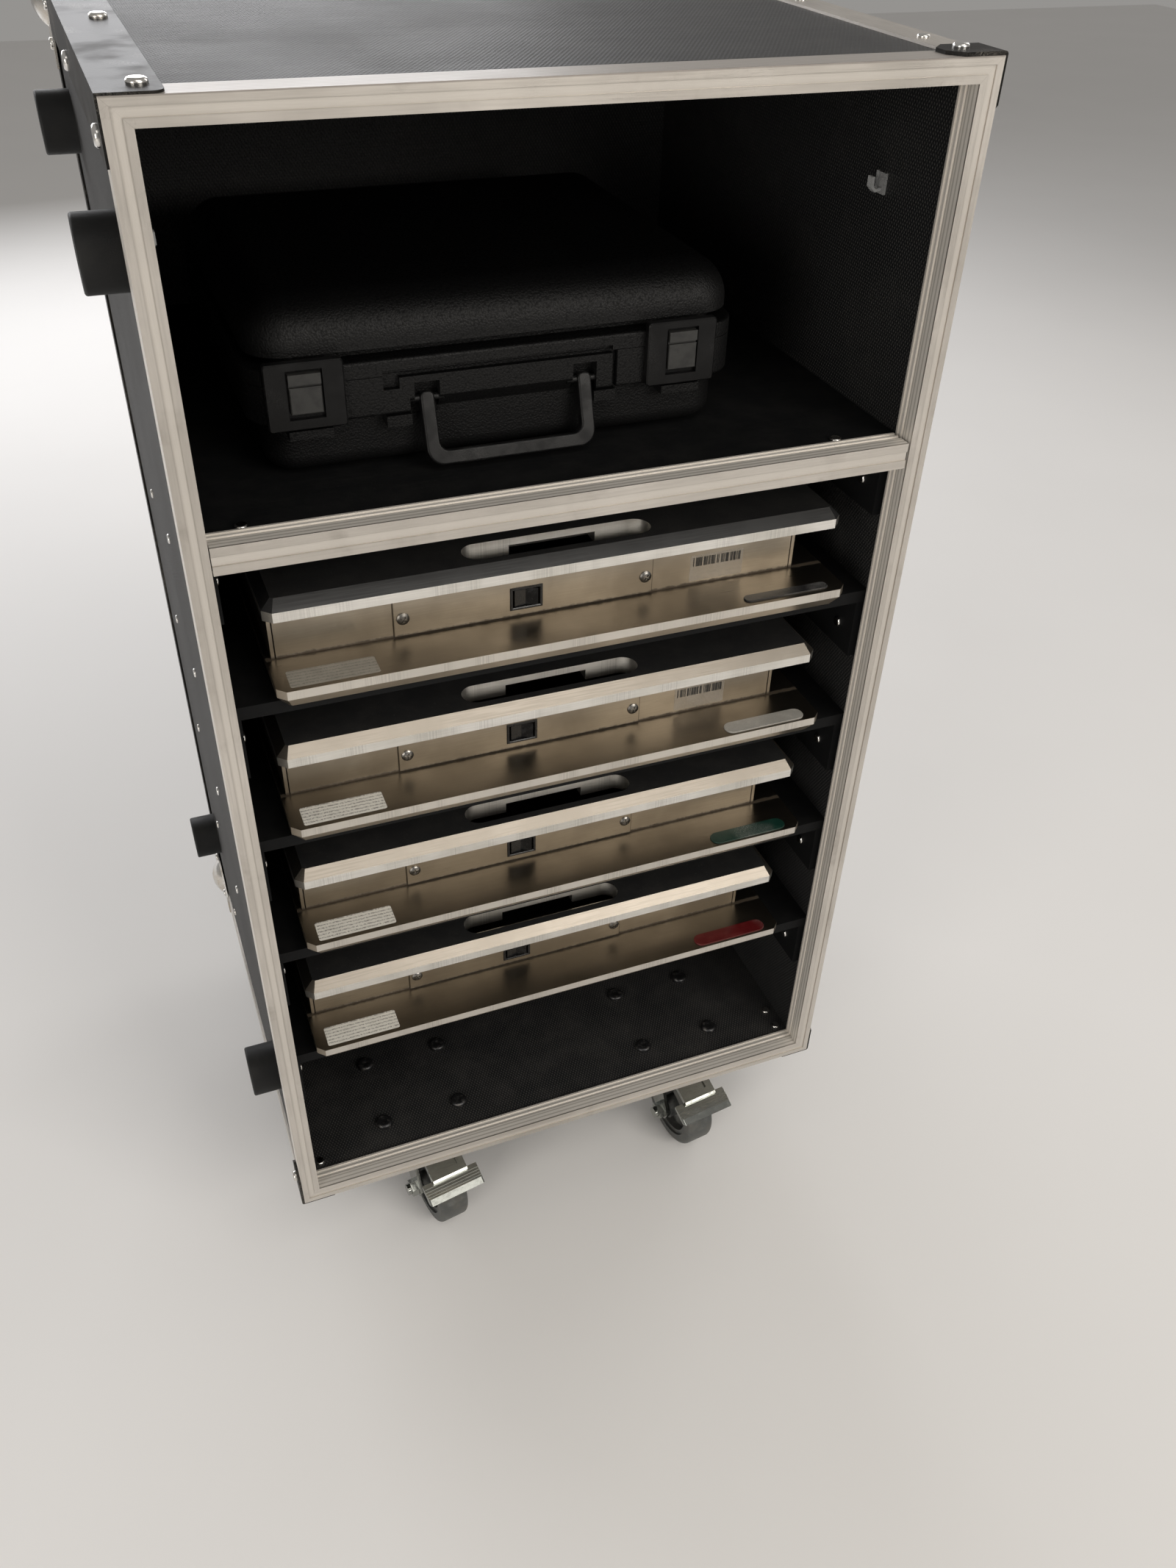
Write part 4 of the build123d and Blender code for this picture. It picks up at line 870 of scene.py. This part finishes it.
# ---- geometry trees ----
class Tree(Wires):
    """A geometry tree being made, with named number inputs and its two ends."""

    def __init__(self, name, inputs):
        tree = bpy.data.node_groups.new(name, "GeometryNodeTree")
        tree.interface.new_socket(name="Geometry", in_out="INPUT", socket_type="NodeSocketGeometry")
        for label, kind, value in inputs:
            socket = tree.interface.new_socket(name=label, in_out="INPUT", socket_type=kind)
            socket.default_value = value
        tree.interface.new_socket(name="Geometry", in_out="OUTPUT", socket_type="NodeSocketGeometry")
        super().__init__(tree)
        self.start = self.add("NodeGroupInput").outputs
        self.end = self.add("NodeGroupOutput").inputs

    def finish(self, geometry, material):
        real = self.add("GeometryNodeRealizeInstances", {"Geometry": geometry})
        painted = self.add("GeometryNodeSetMaterial", {"Geometry": real.outputs[0], "Material": material})
        self.put(self.end["Geometry"], painted.outputs[0])
        return self.tree


def grown(name, tree, values, points, body, slot):
    """Runs a tree over points, keeps the result as a plain mesh and lets it ride on a body."""
    seed_mesh = bpy.data.meshes.new(name + " points")
    seed_mesh.from_pydata([tuple(p) for p in points], [], [])
    grower = bpy.data.objects.new(name + " points", seed_mesh)
    bpy.context.scene.collection.objects.link(grower)
    modifier = grower.modifiers.new("grow", "NODES")
    modifier.node_group = tree
    sockets = {s.name: s.identifier for s in tree.interface.items_tree if s.in_out == "INPUT"}
    for label, value in values.items():
        modifier[sockets[label]] = value
    bpy.context.view_layer.update()
    made = bpy.data.meshes.new_from_object(grower.evaluated_get(bpy.context.evaluated_depsgraph_get()))
    grower.modifiers.clear()
    bpy.data.objects.remove(grower)
    made.name = name
    return new_piece(name, made, body, slot)


def cross_head_screws(material):
    """Low domed heads with a cross recess, one on each point, facing the way the turn input says."""
    t = Tree("cross-head screws", [
        ("Radius", NUMBER, 0.004), ("Height", NUMBER, 0.002), ("Recess", NUMBER, 0.0011),
        ("Facing", VECTOR, (math.pi / 2, 0.0, 0.0)), ("Twist", NUMBER, 0.6),
    ])
    drum = t.add("GeometryNodeMeshCylinder", {
        "Vertices": 28, "Side Segments": 3, "Fill Segments": 5,
        "Radius": t.start["Radius"], "Depth": t.start["Height"],
    })
    place = t.add("GeometryNodeInputPosition").outputs[0]
    x, y, z = t.split(place)
    away = t.maths("SQRT", t.maths("ADD", t.maths("MULTIPLY", x, x), t.maths("MULTIPLY", y, y)))
    share = t.maths("DIVIDE", away, t.start["Radius"])
    drop = t.maths("MULTIPLY", t.maths("POWER", share, 3.0), t.maths("MULTIPLY", t.start["Height"], 0.62))
    upper = t.maths("GREATER_THAN", z, 0.0)
    lowered = t.maths("SUBTRACT", z, t.maths("MULTIPLY", drop, upper))
    moved = t.vector(x, y, lowered)
    domed = t.add("GeometryNodeSetPosition", {"Geometry": drum.outputs[0], "Position": moved}).outputs[0]
    arm_wide = 1.15
    arm_narrow = 0.26
    size = t.vector(
        t.maths("MULTIPLY", t.start["Radius"], arm_wide),
        t.maths("MULTIPLY", t.start["Radius"], arm_narrow),
        t.maths("MULTIPLY", t.start["Recess"], 2.0),
    )
    lift = t.vector(0.0, 0.0, t.maths("MULTIPLY", t.start["Height"], 0.5))
    arms = []
    for quarter in (0.0, math.pi / 2):
        arm = t.add("GeometryNodeMeshCube", {"Size": size}).outputs[0]
        placed = {"Geometry": arm, "Rotation": (0.0, 0.0, quarter), "Translation": lift}
        arms.append(t.add("GeometryNodeTransform", placed).outputs[0])
    cut = t.add("GeometryNodeMeshBoolean", operation="DIFFERENCE", solver="EXACT")
    t.put(cut.inputs["Mesh 1"], domed)
    for arm in arms:
        t.tree.links.new(arm, cut.inputs["Mesh 2"])
    twist = t.vector(0.0, 0.0, t.start["Twist"])
    twisted = t.add("GeometryNodeTransform", {"Geometry": cut.outputs[0], "Rotation": twist})
    points = t.add("GeometryNodeMeshToPoints", {"Mesh": t.start["Geometry"]})
    turn = t.add("FunctionNodeEulerToRotation", {"Euler": t.start["Facing"]})
    many = t.add("GeometryNodeInstanceOnPoints", {
        "Points": points.outputs[0], "Instance": twisted.outputs[0], "Rotation": turn.outputs[0],
    })
    return t.finish(many.outputs[0], material)


def code_bars(material):
    """A row of upright bars of uneven width between two ends, as on a stock label."""
    t = Tree("code bars", [
        ("Length", NUMBER, 0.034), ("Tall", NUMBER, 0.007), ("Thick", NUMBER, 0.0001),
        ("Count", "NodeSocketInt", 34), ("Seed", "NodeSocketInt", 5),
    ])
    half = t.maths("MULTIPLY", t.start["Length"], 0.5)
    row = t.add("GeometryNodeMeshLine", {"Count": t.start["Count"]}, mode="END_POINTS")
    t.put(row.inputs["Start Location"], t.vector(t.maths("MULTIPLY", half, -1.0), 0.0, 0.0))
    t.put(row.inputs["Offset"], t.vector(half, 0.0, 0.0))
    pitch = t.maths("DIVIDE", t.start["Length"], t.start["Count"])
    width = t.add("FunctionNodeRandomValue", {"Seed": t.start["Seed"]}, data_type="FLOAT")
    width.inputs[2].default_value = 0.25
    width.inputs[3].default_value = 1.0
    bar = t.add("GeometryNodeMeshCube", {"Size": t.vector(pitch, t.start["Thick"], t.start["Tall"])})
    grown_by = t.vector(width.outputs[1], 1.0, 1.0)
    kept = t.add("FunctionNodeRandomValue", {"Seed": 9}, data_type="BOOLEAN")
    kept.inputs["Probability"].default_value = 0.72
    bars = t.add("GeometryNodeInstanceOnPoints", {
        "Points": row.outputs[0], "Instance": bar.outputs[0],
        "Scale": grown_by, "Selection": kept.outputs[3],
    })
    spots = t.add("GeometryNodeInstanceOnPoints", {
        "Points": t.start["Geometry"], "Instance": bars.outputs[0],
    })
    return t.finish(spots.outputs[0], material)


SCREW_TREE = cross_head_screws(SCREW_STEEL)
BARS_TREE = code_bars(BAR_INK)


# ---- each pad's small parts ----
# Half width, half height and depth behind the plate's front, from the outer edge inwards.
BEZEL_RINGS = (
    (10.9, 8.0, 0.0), (10.9, 8.0, -0.5), (10.5, 7.6, -0.9),
    (9.5, 6.7, -0.9), (9.1, 6.2, -0.6), (9.1, 6.2, 1.6),
)


def switch_bezel(n, plate_front, key):
    """A moulded frame round the rocker's hole, standing on the switch plate."""
    bm = bmesh.new()
    low, high = key
    cx, cz = (low.x + high.x) / 2, (low.z + high.z) / 2
    rings = []
    for half_x, half_z, y in BEZEL_RINGS:
        rings.append([
            bm.verts.new((cx + sx * half_x * MM, plate_front + y * MM, cz + sz * half_z * MM))
            for sx, sz in ((-1, -1), (1, -1), (1, 1), (-1, 1))
        ])
    for a, b in zip(rings, rings[1:] + rings[:1]):
        for i in range(4):
            bm.faces.new((a[i], a[(i + 1) % 4], b[(i + 1) % 4], b[i]))
    name = f"pad_{n}_switch_bezel"
    return new_piece(name, mesh_of(bm, name), f"pad_{n}", "rocker_black", BEZEL_BLACK)


def flat_label(name, n, centre, size, corner, thick, *materials):
    """A sticker lying on the pad's base."""
    bm = bmesh.new()
    rounded_slab(bm, (0, 0, thick / 2), (*size, thick), corner, thick * 0.4, steps=6)
    turned(bm, Matrix.Translation(centre))
    return new_piece(name, mesh_of(bm, name), f"pad_{n}", "pad_billet", *materials)


def bar_label(n, centre):
    """A see-through sticker on the wall, with bars along its upper half."""
    bm = bmesh.new()
    rounded_slab(bm, (0, 0, 0), FILM_SIZE, FILM_CORNER)
    turned(bm, Matrix.Translation(centre) @ Matrix.Rotation(math.pi / 2, 4, "X"))
    name = f"pad_{n}_bar_label"
    new_piece(name, mesh_of(bm, name), f"pad_{n}", "pad_billet", FILM)
    sizes = {"Length": BARS_LONG, "Tall": BARS_TALL, "Count": BAR_COUNT, "Seed": 4 + n}
    spot = centre + Vector((0, -0.09 * MM, BARS_RISE))
    grown(f"pad_{n}_bar_label_bars", BARS_TREE, sizes, [spot], f"pad_{n}", "pad_billet")


# Places along a pad's front are measured from its middle, and heights from the base's top.
SCREW_X = (-105.0 * MM, 57.8 * MM)
SCREW_RISE = 13.0 * MM
SCREW_R = 4.1 * MM
SCREW_HIGH = 1.9 * MM
SCREW_PROUD = 0.9 * MM
PRINTED_X = -155 * MM
PRINTED_IN = 12.5 * MM
PRINTED_SIZE = (54 * MM, 18 * MM)
PRINTED_CORNER = 1.5 * MM
PRINTED_THICK = 0.12 * MM
TAG_X = 148 * MM
TAG_IN = 8.0 * MM
TAG_LONG = 62 * MM
TAG_THICK = 1.0 * MM
TAG_DEEP = {1: 7.5 * MM, 2: 12 * MM, 3: 12 * MM, 4: 12 * MM}
TAG_ROUND = 0.48         # corner radius as a share of the tag's depth
BAR_LABEL_PADS = (1, 2)
FILM_X = 110 * MM
FILM_RISE = 12.0 * MM
FILM_SIZE = (39 * MM, 19 * MM, 0.1 * MM)
FILM_CORNER = 1.0 * MM
FILM_PROUD = 0.06 * MM
BARS_LONG = 34 * MM
BARS_TALL = 6.5 * MM
BARS_RISE = 4.5 * MM
BAR_COUNT = 36
for n in PADS:
    base_low, base_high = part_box(f"pad_{n}_base")
    centre_x = (base_low.x + base_high.x) / 2
    plate_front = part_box(f"pad_{n}_housing")[0].y
    wall_front = plate_front + SWITCH_PLATE_PROUD
    base_top = base_high.z
    spots = [(centre_x + x, plate_front - SCREW_PROUD, base_top + SCREW_RISE) for x in SCREW_X]
    sizes = {"Radius": SCREW_R, "Height": SCREW_HIGH, "Twist": 0.5 + 0.4 * n}
    grown(f"pad_{n}_plate_screws", SCREW_TREE, sizes, spots, f"pad_{n}", "fastener_steel")
    switch_bezel(n, plate_front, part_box(f"pad_{n}_rocker"))
    flat_label(f"pad_{n}_printed_label", n, (centre_x + PRINTED_X, base_low.y + PRINTED_IN, base_top),
               PRINTED_SIZE, PRINTED_CORNER, PRINTED_THICK, OLD_PAPER if n == 1 else PAPER)
    deep = TAG_DEEP[n]
    flat_label(f"pad_{n}_colour_tag", n, (centre_x + TAG_X, base_low.y + TAG_IN, base_top),
               (TAG_LONG, deep), deep * TAG_ROUND, TAG_THICK, TAGS[n])
    if n in BAR_LABEL_PADS:
        bar_label(n, Vector((centre_x + FILM_X, wall_front - FILM_PROUD, base_top + FILM_RISE)))


# ---- floor, light and camera ----
def stage_floor():
    """A plain pale floor."""
    bm = bmesh.new()
    bmesh.ops.create_grid(bm, x_segments=1, y_segments=1, size=6.0)
    mesh = bpy.data.meshes.new("floor")
    bm.to_mesh(mesh)
    bm.free()
    floor = bpy.data.objects.new("floor", mesh)
    bpy.context.scene.collection.objects.link(floor)
    f = Finish("studio floor")
    tone = f.w.noise(f.position, 3.0, 3.0, 0.5)
    f.set(Base_Color=f.w.mix(tone, rgb(0.80, 0.79, 0.78), rgb(0.84, 0.83, 0.82)), Roughness=0.85)
    mesh.materials.append(f.material)
    floor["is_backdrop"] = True


def soft_light(name, place, target, size, watts, colour):
    """A rectangular softbox at a place, facing a target."""
    lamp = bpy.data.lights.new(name, "AREA")
    lamp.shape = "RECTANGLE"
    lamp.size, lamp.size_y = size
    lamp.energy = watts
    lamp.color = colour
    holder = bpy.data.objects.new(name, lamp)
    holder.location = place
    holder.rotation_euler = (Vector(target) - Vector(place)).to_track_quat("-Z", "Y").to_euler()
    bpy.context.scene.collection.objects.link(holder)


stage_floor()
soft_light("key softbox", (1.1, -2.5, 1.7), (0, 0, 0.45), (1.4, 1.0), 30.0, (1.0, 0.95, 0.88))
soft_light("high front light", (0.25, -1.5, 2.3), (0.05, -0.6, 0.1), (1.5, 0.9), 9.0, (1.0, 0.96, 0.9))
soft_light("left front fill", (-1.9, -1.7, 1.0), (0.1, -0.1, 0.4), (1.0, 1.2), 18.0, (1.0, 0.95, 0.88))
soft_light("rear softbox", (-0.5, 2.7, 1.5), (-0.2, 0.5, 0.6), (3.2, 1.2), 50.0, (0.98, 0.98, 1.0))
soft_light("right rim", (2.0, 0.9, 1.8), (0, 0, 0.5), (1.0, 1.6), 8.0, (1.0, 0.97, 0.93))

world = bpy.data.worlds.new("studio")
bpy.context.scene.world = world
world.use_nodes = True
backdrop = world.node_tree.nodes["Background"]
backdrop.inputs["Color"].default_value = (1.0, 0.97, 0.93, 1.0)
backdrop.inputs["Strength"].default_value = 0.3

CAMERA_AT = (-0.25522, -0.83634, 1.01954)
CAMERA_TURN = (51.56, -1.5303, -21.5125)         # degrees
LENS = 29.62
camera = bpy.data.cameras.new("camera")
camera.sensor_width = 36.0
camera.lens = LENS
viewpoint = bpy.data.objects.new("camera", camera)
viewpoint.location = CAMERA_AT
viewpoint.rotation_euler = Euler([math.radians(a) for a in CAMERA_TURN], "XYZ")
bpy.context.scene.collection.objects.link(viewpoint)
bpy.context.scene.camera = viewpoint
bpy.context.scene.view_settings.view_transform = "Standard"

shown_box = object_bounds()
sizes = {"cad": [list(c) for c in cad_box], "shown": [list(c) for c in shown_box]}
